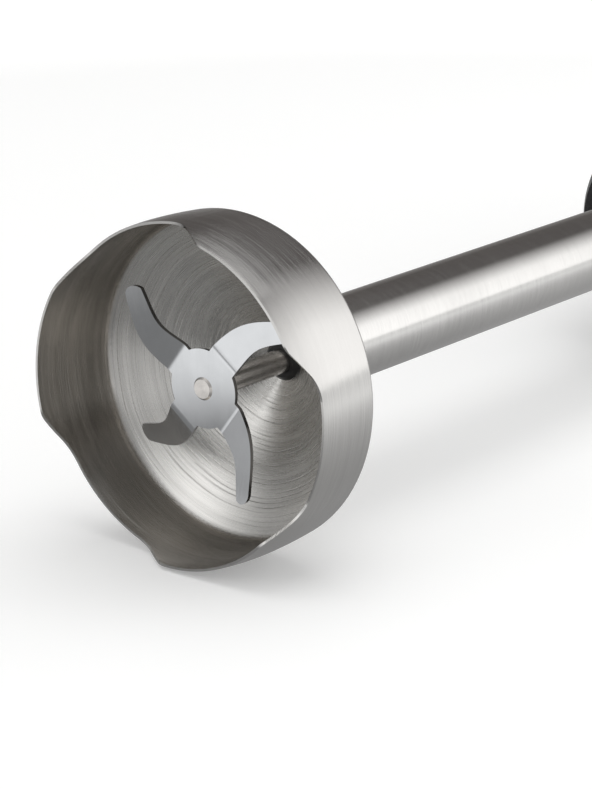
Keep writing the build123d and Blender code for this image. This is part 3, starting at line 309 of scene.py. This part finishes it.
room = {
    "light": 0.55,
    # what the steel sees, as (height of the direction, shade): a pale wall low down on the left
    # and a dim room on the right
    "left": ((0.0, 0.80), (0.15, 0.50), (0.30, 0.42), (0.50, 0.42), (0.75, 0.50), (1.0, 0.45)),
    "right": (
        (0.0, (0.31, 0.30, 0.29)), (0.10, (0.20, 0.19, 0.185)), (0.30, (0.115, 0.105, 0.10)),
        (0.55, (0.11, 0.10, 0.097)), (1.0, 0.20),
    ),
    "sidesMeet": (-0.35, 0.15),
    "glows": (
        # the two side lamps as the gloss sees them, in degrees: direction, height, full within,
        # gone beyond; and the brightness
        (-38, 13, 12, 40, 1.48),
        (163, 27, 5, 32, 1.20),
    ),
}


def makeWorld():
    look = room
    world = bpy.data.worlds.new("studioRoom")
    bpy.context.scene.world = world
    world.use_nodes = True
    tree = world.node_tree
    tree.nodes.clear()
    sky = addNode(tree, "TexCoord").outputs["Generated"]
    high = partOf(tree, sky, "Z")
    onLeft = spread(tree, partOf(tree, sky, "X"), 1.0, 0.0, *look["sidesMeet"])
    right, left = rampOf(tree, high, look["right"]), rampOf(tree, high, look["left"])
    glossSees = blendOf(tree, onLeft, right, left)
    for turn, rise, full, gone, brightness in look["glows"]:
        level = Vector((cos(radians(turn)), sin(radians(turn)), 0))
        aim = level * cos(radians(rise)) + Vector((0, 0, sin(radians(rise))))
        off = calc(tree, "ARCCOSINE", vectorOf(tree, "DOT_PRODUCT", sky, aim))
        glow = spread(tree, off, brightness, 0.0, radians(full), radians(gone))
        glossSees = blendOf(tree, 1.0, glossSees, greyOf(tree, glow), "ADD")
    seen = addNode(tree, "LightPath").outputs
    light = blendOf(tree, seen["Is Glossy Ray"], (look["light"],) * 3, glossSees)
    light = blendOf(tree, seen["Is Camera Ray"], light, white)
    background = addNode(tree, "Background", {"Color": light, "Strength": 1.0})
    addNode(tree, "OutputWorld", {"Surface": background.outputs["Background"]})


makeTable()
makePaintedReflection()
makeLamps()
makeWorld()
print("camera, table and lights in")

# steel
radiusCounts = 1.4  # a step outwards moves the rings on by this many steps along the axis
quarterTurn = 0.25


def ringPlace(tree, place):
    # how far along the wall and the cone, and the direction round the axis
    outward = stretched(tree, place, (0, 1, 1))
    radius = calc(tree, "MULTIPLY", vectorOf(tree, "LENGTH", outward), radiusCounts)
    along = calc(tree, "ADD", partOf(tree, place, "X"), radius)
    return along, vectorOf(tree, "NORMALIZE", outward)


def ringNoise(tree, place, spacing, wander, detail=3.0, rough=grainRough):
    # noise in rings round the axis, which change along their length by wander
    along, outward = ringPlace(tree, place)
    ring = calc(tree, "DIVIDE", along, spacing)
    ring = addNode(tree, "CombineXYZ", {"X": ring}).outputs["Vector"]
    around = vectorOf(tree, "ADD", stretched(tree, outward, (0, wander, wander)), ring)
    return noiseOf(tree, around, 1.0, detail, rough)


def brushRound(tree, shader, amount):
    # gloss drawn out across lines that run round the axis
    shader.inputs["Anisotropic"].default_value = amount
    shader.inputs["Anisotropic Rotation"].default_value = quarterTurn
    around = addNode(tree, "Tangent", direction_type="RADIAL", axis="X")
    tree.links.new(around.outputs["Tangent"], shader.inputs["Tangent"])


bellSteel = {
    "outside": (0.60, 0.592, 0.578),
    # painted shade: the inside wall is a little darker and warmer than the outside
    "shadedInsideWall": (0.57, 0.545, 0.51),
    "cone": (0.62, 0.61, 0.59),
    "insideFrom": (-0.15, -0.4),  # how far a face is turned to the axis
    "coneFrom": (-0.5, -0.75),  # how far it is turned to the lip
    "lineSpacing": 0.00024,
    "lineWander": 2.6,
    "lineShade": (0.93, 1.06),
    "lineDepth": 0.000003,
    "grooveSpacing": 0.0008,
    "grooveWander": 0.6,
    "grooveShade": 0.10,
    "grooveDepth": 0.000014,
    "grooveShare": (0.10, 0.70, 1.0),  # outside, inside wall, cone
    "feed": 0.00072,
    "feedWidth": 0.14,  # as a share of the feed
    "feedDrift": 1.4,  # turns that a mark strays
    "driftWander": 1.6,
    "feedDepth": 0.00003,
    "feedDarkness": 0.22,
    "patchTurns": 1.7,
    "patchWander": 1.3,
    "patchSpan": (0.40, 0.62),
    "sweepWander": 2.2,
    "sweepShade": (0.95, 1.04),
    "bandSpacing": 0.004,
    "bandWander": 1.4,
    "bandShade": 0.16,
    "roughness": (0.16, 0.27),
    "coneRougher": 0.06,
    "anisotropy": 0.78,
}


def feedMarks(tree, place):
    # thin marks left by the turning tool, stronger in patches
    look = bellSteel
    along, outward = ringPlace(tree, place)
    wander = look["driftWander"]
    drift = noiseOf(tree, stretched(tree, outward, (0, wander, wander)), 1.0, 1.0)
    drift = calc(tree, "MULTIPLY", drift, look["feedDrift"])
    turns = calc(tree, "ADD", calc(tree, "DIVIDE", along, look["feed"]), drift)
    within = calc(tree, "ABSOLUTE", calc(tree, "SUBTRACT", calc(tree, "FRACT", turns), 0.5))
    patch = ringNoise(tree, place, look["feed"] * look["patchTurns"], look["patchWander"], 1.0, 0.5)
    patch = spread(tree, patch, 0.0, 1.0, *look["patchSpan"])
    return calc(tree, "MULTIPLY", spread(tree, within, 1.0, 0.0, 0.0, look["feedWidth"]), patch)


def wallTone(tree, place, inside, onCone):
    # broad bands and cloudy patches that handling leaves on the inside wall
    look = bellSteel
    tone = ringNoise(tree, place, look["bandSpacing"], look["bandWander"])
    tone = fromNoise(tree, tone, -look["bandShade"], look["bandShade"])
    onWall = calc(tree, "SUBTRACT", inside, onCone)
    return calc(tree, "ADD", calc(tree, "MULTIPLY", tone, onWall), 1.0)


def makeBellSteel():
    look = bellSteel
    finish, tree, shader = newFinish("bellTurnedSteel", Metallic=1.0)
    place = axisPlace(tree)
    normal = addNode(tree, "NewGeometry").outputs["Normal"]
    outward = ringPlace(tree, place)[1]
    facing = vectorOf(tree, "DOT_PRODUCT", normal, outward)
    inside = spread(tree, facing, 0.0, 1.0, *look["insideFrom"])
    lipward = spread(tree, partOf(tree, normal, "X"), 0.0, 1.0, *look["coneFrom"])
    onCone = calc(tree, "MULTIPLY", inside, lipward)
    # painted shade: the inside of the bell takes the darker wall colour
    colour = blendOf(tree, inside, look["outside"], look["shadedInsideWall"])
    colour = blendOf(tree, onCone, colour, look["cone"])

    lines = ringNoise(tree, place, look["lineSpacing"], look["lineWander"])
    grooves = ringNoise(tree, place, look["grooveSpacing"], look["grooveWander"])
    wander = look["sweepWander"]
    sweep = noiseOf(tree, stretched(tree, outward, (0, wander, wander)), 1.0)
    outShare, wallShare, coneShare = look["grooveShare"]
    share = calc(tree, "ADD", outShare, calc(tree, "MULTIPLY", inside, wallShare - outShare))
    share = calc(tree, "ADD", share, calc(tree, "MULTIPLY", onCone, coneShare - wallShare))

    soft = fromNoise(tree, sweep, *look["sweepShade"])
    soft = calc(tree, "MULTIPLY", soft, wallTone(tree, place, inside, onCone))
    worn = calc(tree, "MULTIPLY", fromNoise(tree, lines, *look["lineShade"]), soft)
    cut = fromNoise(tree, grooves, -look["grooveShade"], look["grooveShade"])
    cut = calc(tree, "MULTIPLY", cut, share)
    turned = calc(tree, "MULTIPLY", worn, calc(tree, "ADD", cut, 1.0))
    marks = calc(tree, "MULTIPLY", feedMarks(tree, place), share)
    turned = calc(tree, "MULTIPLY", turned, spread(tree, marks, 1.0, 1.0 - look["feedDarkness"]))
    tree.links.new(shaded(tree, colour, turned), shader.inputs["Base Color"])

    coneRougher = calc(tree, "MULTIPLY", onCone, look["coneRougher"])
    rough = calc(tree, "ADD", fromNoise(tree, lines, *look["roughness"]), coneRougher)
    tree.links.new(rough, shader.inputs["Roughness"])
    fine = bumpOf(tree, lines, look["lineDepth"])
    deep = bumpOf(tree, grooves, look["grooveDepth"], share, fine)
    tree.links.new(bumpOf(tree, marks, -look["feedDepth"], 1.0, deep), shader.inputs["Normal"])
    brushRound(tree, shader, look["anisotropy"])
    return finish


roundSteels = {
    # colour, line spacing, line depth, roughness low and high, anisotropy
    "tubePolishedSteel": ((0.61, 0.603, 0.59), 0.00030, 0.000001, (0.18, 0.25), 0.5),
    "shaftPolishedSteel": ((0.74, 0.71, 0.68), 0.00045, 0.0000002, (0.15, 0.19), 0.85),
    "shaftGroundSteel": ((0.56, 0.555, 0.55), 0.00018, 0.0000015, (0.22, 0.34), 0.5),
    "trimBrushedSteel": ((0.66, 0.655, 0.64), 0.00016, 0.0000015, (0.24, 0.36), 0.7),
    "platedSteel": ((0.60, 0.60, 0.61), 0.00035, 0.000001, (0.25, 0.4), 0.2),
}
roundLines = {"wander": 1.6, "shade": (0.94, 1.05), "cloudScale": 55.0, "cloudShade": (0.96, 1.03)}


def makeRoundSteel(name):
    look = roundLines
    colour, spacing, depth, roughness, anisotropy = roundSteels[name]
    finish, tree, shader = newFinish(name, Metallic=1.0)
    place = axisPlace(tree)
    lines = ringNoise(tree, place, spacing, look["wander"])
    cloud = fromNoise(tree, noiseOf(tree, place, look["cloudScale"], 3.0), *look["cloudShade"])
    shade = calc(tree, "MULTIPLY", fromNoise(tree, lines, *look["shade"]), cloud)
    tree.links.new(shaded(tree, colour, shade), shader.inputs["Base Color"])
    tree.links.new(fromNoise(tree, lines, *roughness), shader.inputs["Roughness"])
    tree.links.new(bumpOf(tree, lines, depth), shader.inputs["Normal"])
    brushRound(tree, shader, anisotropy)
    return finish


bladeSteel = {
    "colour": (0.625, 0.637, 0.652),
    # painted shade: near-black side faces, for the dark line along the blade's outline
    "edge": (0.13, 0.125, 0.12),
    "edgeFrom": (0.3, 0.6),  # faces turned further from the lip than this are edges
    "scratchScale": (200, 4000, 120),
    "scratchDepth": 0.000001,
    "cloudScale": 160.0,
    "cloudShade": (0.95, 1.04),
    "roughness": (0.10, 0.17),
}


def makeBladeSteel():
    look = bladeSteel
    finish, tree, shader = newFinish("bladeLappedSteel", Metallic=1.0)
    place = axisPlace(tree)
    scratches = noiseOf(tree, stretched(tree, place, look["scratchScale"]), 1.0, 3.0, grainRough)
    cloud = noiseOf(tree, place, look["cloudScale"], 3.0)
    normal = addNode(tree, "NewGeometry").outputs["Normal"]
    lipward = calc(tree, "ABSOLUTE", partOf(tree, normal, "X"))
    # painted shade on the side faces of the blade
    onShadedEdge = spread(tree, lipward, 1.0, 0.0, *look["edgeFrom"])
    colour = blendOf(tree, onShadedEdge, look["colour"], look["edge"])
    shade = fromNoise(tree, cloud, *look["cloudShade"])
    tree.links.new(shaded(tree, colour, shade), shader.inputs["Base Color"])
    tree.links.new(fromNoise(tree, scratches, *look["roughness"]), shader.inputs["Roughness"])
    tree.links.new(bumpOf(tree, scratches, look["scratchDepth"]), shader.inputs["Normal"])
    return finish


# plastics, rubber and what is inside the handle
plasticLooks = {
    # colour, second colour, roughness low and high, grain size, grain depth, coat
    "housingPlastic": ((0.016, 0.016, 0.018), (0.022, 0.022, 0.024),
                       (0.36, 0.48), 0.00045, 0.00002, 0.0),
    "nosePlastic": ((0.013, 0.013, 0.014), (0.017, 0.017, 0.018),
                    (0.24, 0.32), 0.0004, 0.000004, 0.0),
    "panelGloss": ((0.008, 0.008, 0.009), (0.010, 0.010, 0.011),
                   (0.05, 0.09), 0.004, 0.000002, 0.6),
    "buttonPlastic": ((0.050, 0.050, 0.053), (0.062, 0.062, 0.066),
                      (0.34, 0.46), 0.0004, 0.000012, 0.0),
    "softRubber": ((0.020, 0.020, 0.021), (0.028, 0.028, 0.030),
                   (0.62, 0.78), 0.0006, 0.00003, 0.0),
    "sealRubber": ((0.008, 0.008, 0.008), (0.013, 0.013, 0.013),
                   (0.28, 0.42), 0.0007, 0.00001, 0.0),
    "bearingPlastic": ((0.62, 0.61, 0.56), (0.68, 0.67, 0.62),
                       (0.35, 0.5), 0.0008, 0.00001, 0.0),
    "boardLacquer": ((0.018, 0.11, 0.045), (0.025, 0.15, 0.06),
                     (0.2, 0.35), 0.002, 0.00001, 0.3),
    "componentPlastic": ((0.035, 0.035, 0.04), (0.05, 0.05, 0.056),
                         (0.4, 0.55), 0.0005, 0.00001, 0.0),
    "capacitorFilm": ((0.55, 0.33, 0.05), (0.62, 0.38, 0.07),
                      (0.3, 0.42), 0.0009, 0.00001, 0.2),
    "pressedCarbon": ((0.018, 0.018, 0.019), (0.04, 0.04, 0.042),
                      (0.5, 0.7), 0.0003, 0.00002, 0.0),
}
plasticLooks["dialPlastic"] = plasticLooks["buttonPlastic"]
plasticSkin = {
    "cloudScale": 45.0,
    "cloudSpan": (0.35, 0.65),
    "cloudRoughness": 0.02,
    "coatRoughness": 0.04,
    "partingLine": (0.00008, 0.00022),  # half width, at its bottom and at its top
    "partingDepth": 0.0002,
}


def makePlastic(name):
    look = plasticSkin
    colour, second, roughness, grain, depth, coat = plasticLooks[name]
    finish, tree, shader = newFinish(name)
    place = axisPlace(tree)
    grains = noiseOf(tree, place, 1 / grain, 2.0, grainRough)
    cloud = noiseOf(tree, place, look["cloudScale"], 3.0)
    tint = spread(tree, cloud, 0, 1, *look["cloudSpan"])
    tree.links.new(blendOf(tree, tint, colour, second), shader.inputs["Base Color"])
    patches = fromNoise(tree, cloud, -look["cloudRoughness"], look["cloudRoughness"])
    rough = calc(tree, "ADD", fromNoise(tree, grains, *roughness), patches)
    tree.links.new(rough, shader.inputs["Roughness"])
    skin = bumpOf(tree, grains, depth)
    if name == "housingPlastic":
        # fine parting line where the two halves of the handle meet
        high = calc(tree, "ABSOLUTE", partOf(tree, place, "Z"))
        line = spread(tree, high, 0.0, 1.0, *look["partingLine"])
        skin = bumpOf(tree, line, look["partingDepth"], 1.0, skin)
    tree.links.new(skin, shader.inputs["Normal"])
    shader.inputs["Coat Weight"].default_value = coat
    shader.inputs["Coat Roughness"].default_value = look["coatRoughness"]
    return finish


metalLooks = {
    # colour, second colour, roughness low and high, grain size, depth
    "sinteredBronze": ((0.42, 0.27, 0.12), (0.50, 0.34, 0.17), (0.38, 0.55), 0.0003, 0.00001),
    "castAluminium": ((0.60, 0.60, 0.61), (0.68, 0.68, 0.69), (0.36, 0.5), 0.0006, 0.00002),
    "enamelledCopper": ((0.55, 0.20, 0.07), (0.66, 0.29, 0.11), (0.22, 0.34), 0.0005, 0.00004),
    "springSteel": ((0.48, 0.48, 0.50), (0.56, 0.56, 0.58), (0.22, 0.34), 0.0006, 0.000004),
}


def makeMetal(name):
    colour, second, roughness, grain, depth = metalLooks[name]
    finish, tree, shader = newFinish(name, Metallic=1.0)
    grains = noiseOf(tree, axisPlace(tree), 1 / grain, 3.0, grainRough)
    tree.links.new(blendOf(tree, grains, colour, second), shader.inputs["Base Color"])
    tree.links.new(fromNoise(tree, grains, *roughness), shader.inputs["Roughness"])
    tree.links.new(bumpOf(tree, grains, depth), shader.inputs["Normal"])
    return finish


# thin steel sheets stacked along the axis, as in the motor's two cores
sheetStack = {
    "thickness": 0.0005,
    "colour": (0.30, 0.30, 0.31),
    "gap": (0.11, 0.11, 0.115),
    "gapFrom": (0.36, 0.46),  # from a sheet's middle, as a share of its thickness
    "gapDepth": 0.00003,
    "grainScale": 900,
    "roughness": (0.35, 0.55),
    "metallic": 0.9,
}


def makeSheetStack():
    look = sheetStack
    finish, tree, shader = newFinish("stackedSheets", Metallic=look["metallic"])
    place = axisPlace(tree)
    within = calc(tree, "FRACT", calc(tree, "DIVIDE", partOf(tree, place, "X"), look["thickness"]))
    within = calc(tree, "ABSOLUTE", calc(tree, "SUBTRACT", within, 0.5))
    gap = spread(tree, within, 0.0, 1.0, *look["gapFrom"])
    tree.links.new(blendOf(tree, gap, look["colour"], look["gap"]), shader.inputs["Base Color"])
    rough = spread(tree, noiseOf(tree, place, look["grainScale"]), *look["roughness"])
    tree.links.new(rough, shader.inputs["Roughness"])
    height = calc(tree, "SUBTRACT", 1.0, gap)
    tree.links.new(bumpOf(tree, height, look["gapDepth"]), shader.inputs["Normal"])
    return finish


# the dial's pointer is a pale line filled in flush with its face
dialPointer = {
    "from": 0.0068,
    "to": 0.0126,
    "width": 0.0011,
    "soft": 0.00006,
    "deep": 0.0002,
    "colour": (0.62, 0.62, 0.61),
}


def fillPointer(finish):
    look = dialPointer
    tree = finish.node_tree
    shader = next(node for node in tree.nodes if node.type == "BSDF_PRINCIPLED")
    plain = shader.inputs["Base Color"].links[0].from_socket
    place = addNode(tree, "SeparateXYZ", {0: axisPlace(tree)}).outputs
    soft, half = look["soft"], look["width"] / 2
    inLine = spread(tree, calc(tree, "ABSOLUTE", place["Y"]), 1.0, 0.0, half - soft, half + soft)
    pastStart = spread(tree, place["Z"], 0.0, 1.0, look["from"] - soft, look["from"] + soft)
    beforeEnd = spread(tree, place["Z"], 1.0, 0.0, look["to"] - soft, look["to"] + soft)
    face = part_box("speed_dial")[1].x - lipAt
    onFace = spread(tree, place["X"], 0.0, 1.0, face - look["deep"], face - look["deep"] / 2)
    inRun = calc(tree, "MULTIPLY", pastStart, beforeEnd)
    filled = calc(tree, "MULTIPLY", calc(tree, "MULTIPLY", inLine, onFace), inRun)
    tree.links.new(blendOf(tree, filled, plain, look["colour"]), shader.inputs["Base Color"])


# pale print on the handle
inkLook = {
    "colour": (0.66, 0.66, 0.65),
    "second": (0.58, 0.58, 0.57),
    "speckleScale": 2600.0,
    "speckleDepth": 0.000004,
    "roughness": (0.42, 0.6),
}


def makePrintInk():
    look = inkLook
    finish, tree, shader = newFinish("paleInk")
    speckle = noiseOf(tree, axisPlace(tree), look["speckleScale"], 2.0, grainRough)
    tint = blendOf(tree, fromNoise(tree, speckle, 0.0, 1.0), look["colour"], look["second"])
    tree.links.new(tint, shader.inputs["Base Color"])
    tree.links.new(fromNoise(tree, speckle, *look["roughness"]), shader.inputs["Roughness"])
    tree.links.new(bumpOf(tree, speckle, look["speckleDepth"]), shader.inputs["Normal"])
    return finish


finishes = {
    "bellTurnedSteel": makeBellSteel(),
    "bladeLappedSteel": makeBladeSteel(),
    "stackedSheets": makeSheetStack(),
    "paleInk": makePrintInk(),
}
finishes.update({name: makeRoundSteel(name) for name in roundSteels})
finishes.update({name: makePlastic(name) for name in plasticLooks})
finishes.update({name: makeMetal(name) for name in metalLooks})
fillPointer(finishes["dialPlastic"])

finishOf = {
    "bellTurnedSteel": ["bell_guard"],
    "tubePolishedSteel": ["shaft_tube"],
    "bladeLappedSteel": ["blade"],
    "shaftPolishedSteel": ["drive_shaft"],
    "shaftGroundSteel": [
        "motor_shaft", "shaft_clip", "thrust_washer", "front_bearing", "rear_bearing",
    ],
    "trimBrushedSteel": ["trim_ring"],
    "platedSteel": ["housing_screws", "motor_bolts", "dial_spindle"],
    "springSteel": ["latch_ring", "turbo_button_spring", "on_button_spring", "brush_springs"],
    "stackedSheets": ["stator_core", "rotor_core"],
    "housingPlastic": ["housing_top", "housing_back", "end_cap"],
    "nosePlastic": ["handle_nose", "collar_shell", "collar_core"],
    "panelGloss": ["control_panel"],
    "buttonPlastic": ["turbo_button", "on_button", "release_button_left", "release_button_right"],
    "dialPlastic": ["speed_dial"],
    "softRubber": ["soft_grip"],
    "sealRubber": [
        "shaft_seal", "collar_seal", "front_mount_ring", "rear_mount_ring", "cable_gland",
    ],
    "bearingPlastic": [
        "bearing_carrier", "shaft_liner", "middle_bush", "upper_carrier",
        "driven_coupling", "drive_coupling",
    ],
    "sinteredBronze": ["lower_bush", "upper_bush", "brush_holders"],
    "castAluminium": ["front_bracket", "rear_bracket"],
    "enamelledCopper": ["stator_coils", "rotor_windings", "commutator"],
    "boardLacquer": ["circuit_board"],
    "componentPlastic": ["turbo_switch", "on_switch", "potentiometer", "cooling_fan"],
    "capacitorFilm": ["suppression_capacitor"],
    "pressedCarbon": ["carbon_brushes"],
}
dressed = set()
for finishName, nodeNames in finishOf.items():
    for nodeName in nodeNames:
        slots = cadNodes[nodeName].data.materials
        slots.clear()
        slots.append(finishes[finishName])
        dressed.add(nodeName)
print("finishes on", len(dressed), "nodes; left bare:", sorted(set(cadNodes) - dressed))


# print and ribs that the handle carries
weldReach = 0.000001


def layFlat(x):
    # on a plane square to the axis: across is +Y, up is +Z from the axis
    return lambda across, up, rise: Vector((x + rise, across, axisHeight + up))


def layOver(nodeName, start, across, along):
    # onto the outside of a node, met by a line from start towards the axis
    mesh = cadNodes[nodeName].data
    mesh.calc_loop_triangles()
    triangles = [triangle.vertices for triangle in mesh.loop_triangles]
    skin = BVHTree.FromPolygons([vertex.co for vertex in mesh.vertices], triangles)
    inward = across.cross(along)

    def lay(first, second, rise):
        origin = start + across * first + along * second
        return skin.ray_cast(origin, inward)[0] - inward * rise

    return lay


def addStroke(bm, points, lay, look):
    # a raised line of even width through flat points
    points = [Vector(point) for point in points]
    rings = []
    for number, point in enumerate(points):
        first = (point - points[max(number - 1, 0)]).normalized()
        second = (points[min(number + 1, len(points) - 1)] - point).normalized()
        run = (first + second).normalized()
        cut = max(run.dot(second if second.length else first), 0.3)  # keeps sharp corners short
        side = Vector((-run.y, run.x)) * (look["width"] / 2 / cut)
        left, right, rise, sink = point + side, point - side, look["rise"], look["sink"]
        corners = ((left, rise), (right, rise), (right, -sink), (left, -sink))
        rings.append([bm.verts.new(lay(corner.x, corner.y, height)) for corner, height in corners])
    for ring, following in zip(rings, rings[1:]):
        for number in range(len(ring)):
            bm.faces.new((ring[number], ring[number - 1], following[number - 1], following[number]))
    bm.faces.new(rings[0])
    bm.faces.new(rings[-1][::-1])


def finishPiece(name, bm, finishName, body):
    bmesh.ops.recalc_face_normals(bm, faces=bm.faces)
    mesh = bpy.data.meshes.new(name)
    bm.to_mesh(mesh)
    bm.free()
    mesh.materials.append(finishes[finishName])
    piece = addObject(name, mesh)
    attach(piece, body)


dialScale = {
    "steps": 9,
    "halfTurn": 140,  # degrees
    "numberRadius": 0.0207,
    "numberHeight": 0.0034,
    "sizePerHeight": 1.4,
    "tickFrom": 0.0163,
    "tickTo": 0.0178,
    "width": 0.00045,
    "rise": 0.00008,
    "sink": 0.00008,
}


def addNumber(bm, text, across, up, lay):
    look = dialScale
    letter = bpy.data.curves.new("scaleNumber", "FONT")
    letter.body, letter.size = text, look["numberHeight"] * look["sizePerHeight"]
    letter.align_x = letter.align_y = "CENTER"
    letter.extrude = look["rise"]
    carrier = bpy.data.objects.new("scaleNumber", letter)
    flat = bpy.data.meshes.new_from_object(carrier)
    for vertex in flat.vertices:
        vertex.co = lay(vertex.co.x + across, vertex.co.y + up, vertex.co.z)
    bm.from_mesh(flat)
    bpy.data.objects.remove(carrier)
    bpy.data.curves.remove(letter)
    bpy.data.meshes.remove(flat)


def makeDialScale():
    look = dialScale
    lay = layFlat(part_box("end_cap")[1].x)
    bm = bmesh.new()
    halfTick = (look["tickFrom"] + look["tickTo"]) / 2
    for step in range(2 * look["steps"] - 1):
        turn = radians(look["halfTurn"] * (step / (look["steps"] - 1) - 1))
        out = Vector((sin(turn), cos(turn)))
        end = look["tickTo"] if step % 2 == 0 else halfTick
        addStroke(bm, (out * look["tickFrom"], out * end), lay, look)
    for number in range(look["steps"]):
        turn = radians(look["halfTurn"] * (2 * number / (look["steps"] - 1) - 1))
        across, up = sin(turn) * look["numberRadius"], cos(turn) * look["numberRadius"]
        addNumber(bm, str(number + 1), across, up, lay)
    bmesh.ops.remove_doubles(bm, verts=bm.verts, dist=weldReach)
    finishPiece("dialScale", bm, "paleInk", "handle")


buttonMarks = {
    "castFrom": 0.01,  # above the button, to find its top
    "width": 0.00055,
    "rise": 0.00006,
    "sink": 0.00008,
    "ringRadius": 0.0023,
    "ringGap": 32,  # degrees each side of the top
    "ringSteps": 40,
    "stemFrom": 1.25,  # shares of the ring's radius
    "stemStep": 0.3,
    "stemPoints": 5,
    "chevronReach": 0.0016,
    "chevronHalf": 0.0022,
    "chevronStep": 0.0022,
    "chevronSteps": 6,
}


def onStrokes():
    # an open ring with a stem at its top
    look = buttonMarks
    radius, gap, steps = look["ringRadius"], look["ringGap"], look["ringSteps"]
    turns = [radians(gap + (360 - 2 * gap) * step / steps) for step in range(steps + 1)]
    ring = [(-cos(turn) * radius, sin(turn) * radius) for turn in turns]
    shares = [look["stemFrom"] - step * look["stemStep"] for step in range(look["stemPoints"])]
    return [ring, [(-radius * share, 0) for share in shares]]


def turboStrokes():
    # two chevrons one behind the other
    look = buttonMarks
    steps, reach, half = look["chevronSteps"], look["chevronReach"], look["chevronHalf"]
    arms = [step / steps for step in range(-steps, steps + 1)]
    shifts = [offset * look["chevronStep"] for offset in (-0.5, 0.5)]
    return [[(shift - reach * (0.5 - abs(arm)), arm * half) for arm in arms] for shift in shifts]


def makeButtonMarks():
    for name, node, body, strokes in (
        ("onMark", "on_button", "on_key", onStrokes()),
        ("turboMark", "turbo_button", "turbo_key", turboStrokes()),
    ):
        low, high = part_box(node)
        above = high.z + buttonMarks["castFrom"]
        middle = Vector(((low.x + high.x) / 2, (low.y + high.y) / 2, above))
        lay = layOver(node, middle, Vector((1, 0, 0)), Vector((0, -1, 0)))
        bm = bmesh.new()
        for points in strokes:
            addStroke(bm, points, lay, buttonMarks)
        finishPiece(name, bm, "paleInk", body)


releaseRibs = {
    "castFrom": 0.06,  # out from the axis, to find the button's face
    "count": 4,
    "spacing": 0.0017,
    "half": 0.0024,
    "steps": 4,  # in each half
    "width": 0.0007,
    "rise": 0.0003,
    "sink": 0.0002,
}


def makeReleaseRibs():
    look = releaseRibs
    for hand, side in (("left", -1), ("right", 1)):
        node = "release_button_" + hand
        low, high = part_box(node)
        start = Vector(((low.x + high.x) / 2, side * look["castFrom"], (low.z + high.z) / 2))
        lay = layOver(node, start, Vector((1, 0, 0)), Vector((0, 0, side)))
        bm = bmesh.new()
        for number in range(look["count"]):
            at = (number - (look["count"] - 1) / 2) * look["spacing"]
            steps = look["steps"]
            run = [(at, look["half"] * (step / steps - 1)) for step in range(2 * steps + 1)]
            addStroke(bm, run, lay, look)
        finishPiece(hand + "Ribs", bm, "buttonPlastic", hand + "_release")


makeDialScale()
makeButtonMarks()
makeReleaseRibs()
print("scale, marks and ribs on")


def springCopy(name, nodeName):
    mesh = cadNodes[nodeName].data.copy()
    mesh.materials.clear()
    mesh.materials.append(finishes["springSteel"])
    piece = addObject(name, mesh)
    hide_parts(nodeName)
    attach(piece, "handle")
    return piece


def makeButtonSprings():
    for button in ("turbo", "on"):
        piece = springCopy(button + "Spring", button + "_button_spring")
        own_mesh(piece)


def makeLatchHalves():
    for name, joint, side in (("latchLeft", "left_press", -1), ("latchRight", "right_press", 1)):
        piece = springCopy(name, "latch_ring")
        bm = bmesh.new()
        bm.from_mesh(piece.data)
        bmesh.ops.remove_doubles(bm, verts=bm.verts, dist=weldReach)
        everything = bm.verts[:] + bm.edges[:] + bm.faces[:]
        bmesh.ops.bisect_plane(
            bm, geom=everything, plane_co=(0, 0, 0), plane_no=(0, -side, 0), clear_outer=True
        )
        bmesh.ops.holes_fill(bm, edges=[edge for edge in bm.edges if edge.is_boundary])
        bmesh.ops.recalc_face_normals(bm, faces=bm.faces)
        bm.to_mesh(piece.data)
        bm.free()
        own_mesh(piece)


makeButtonSprings()
makeLatchHalves()
print("springs and latch ring in")
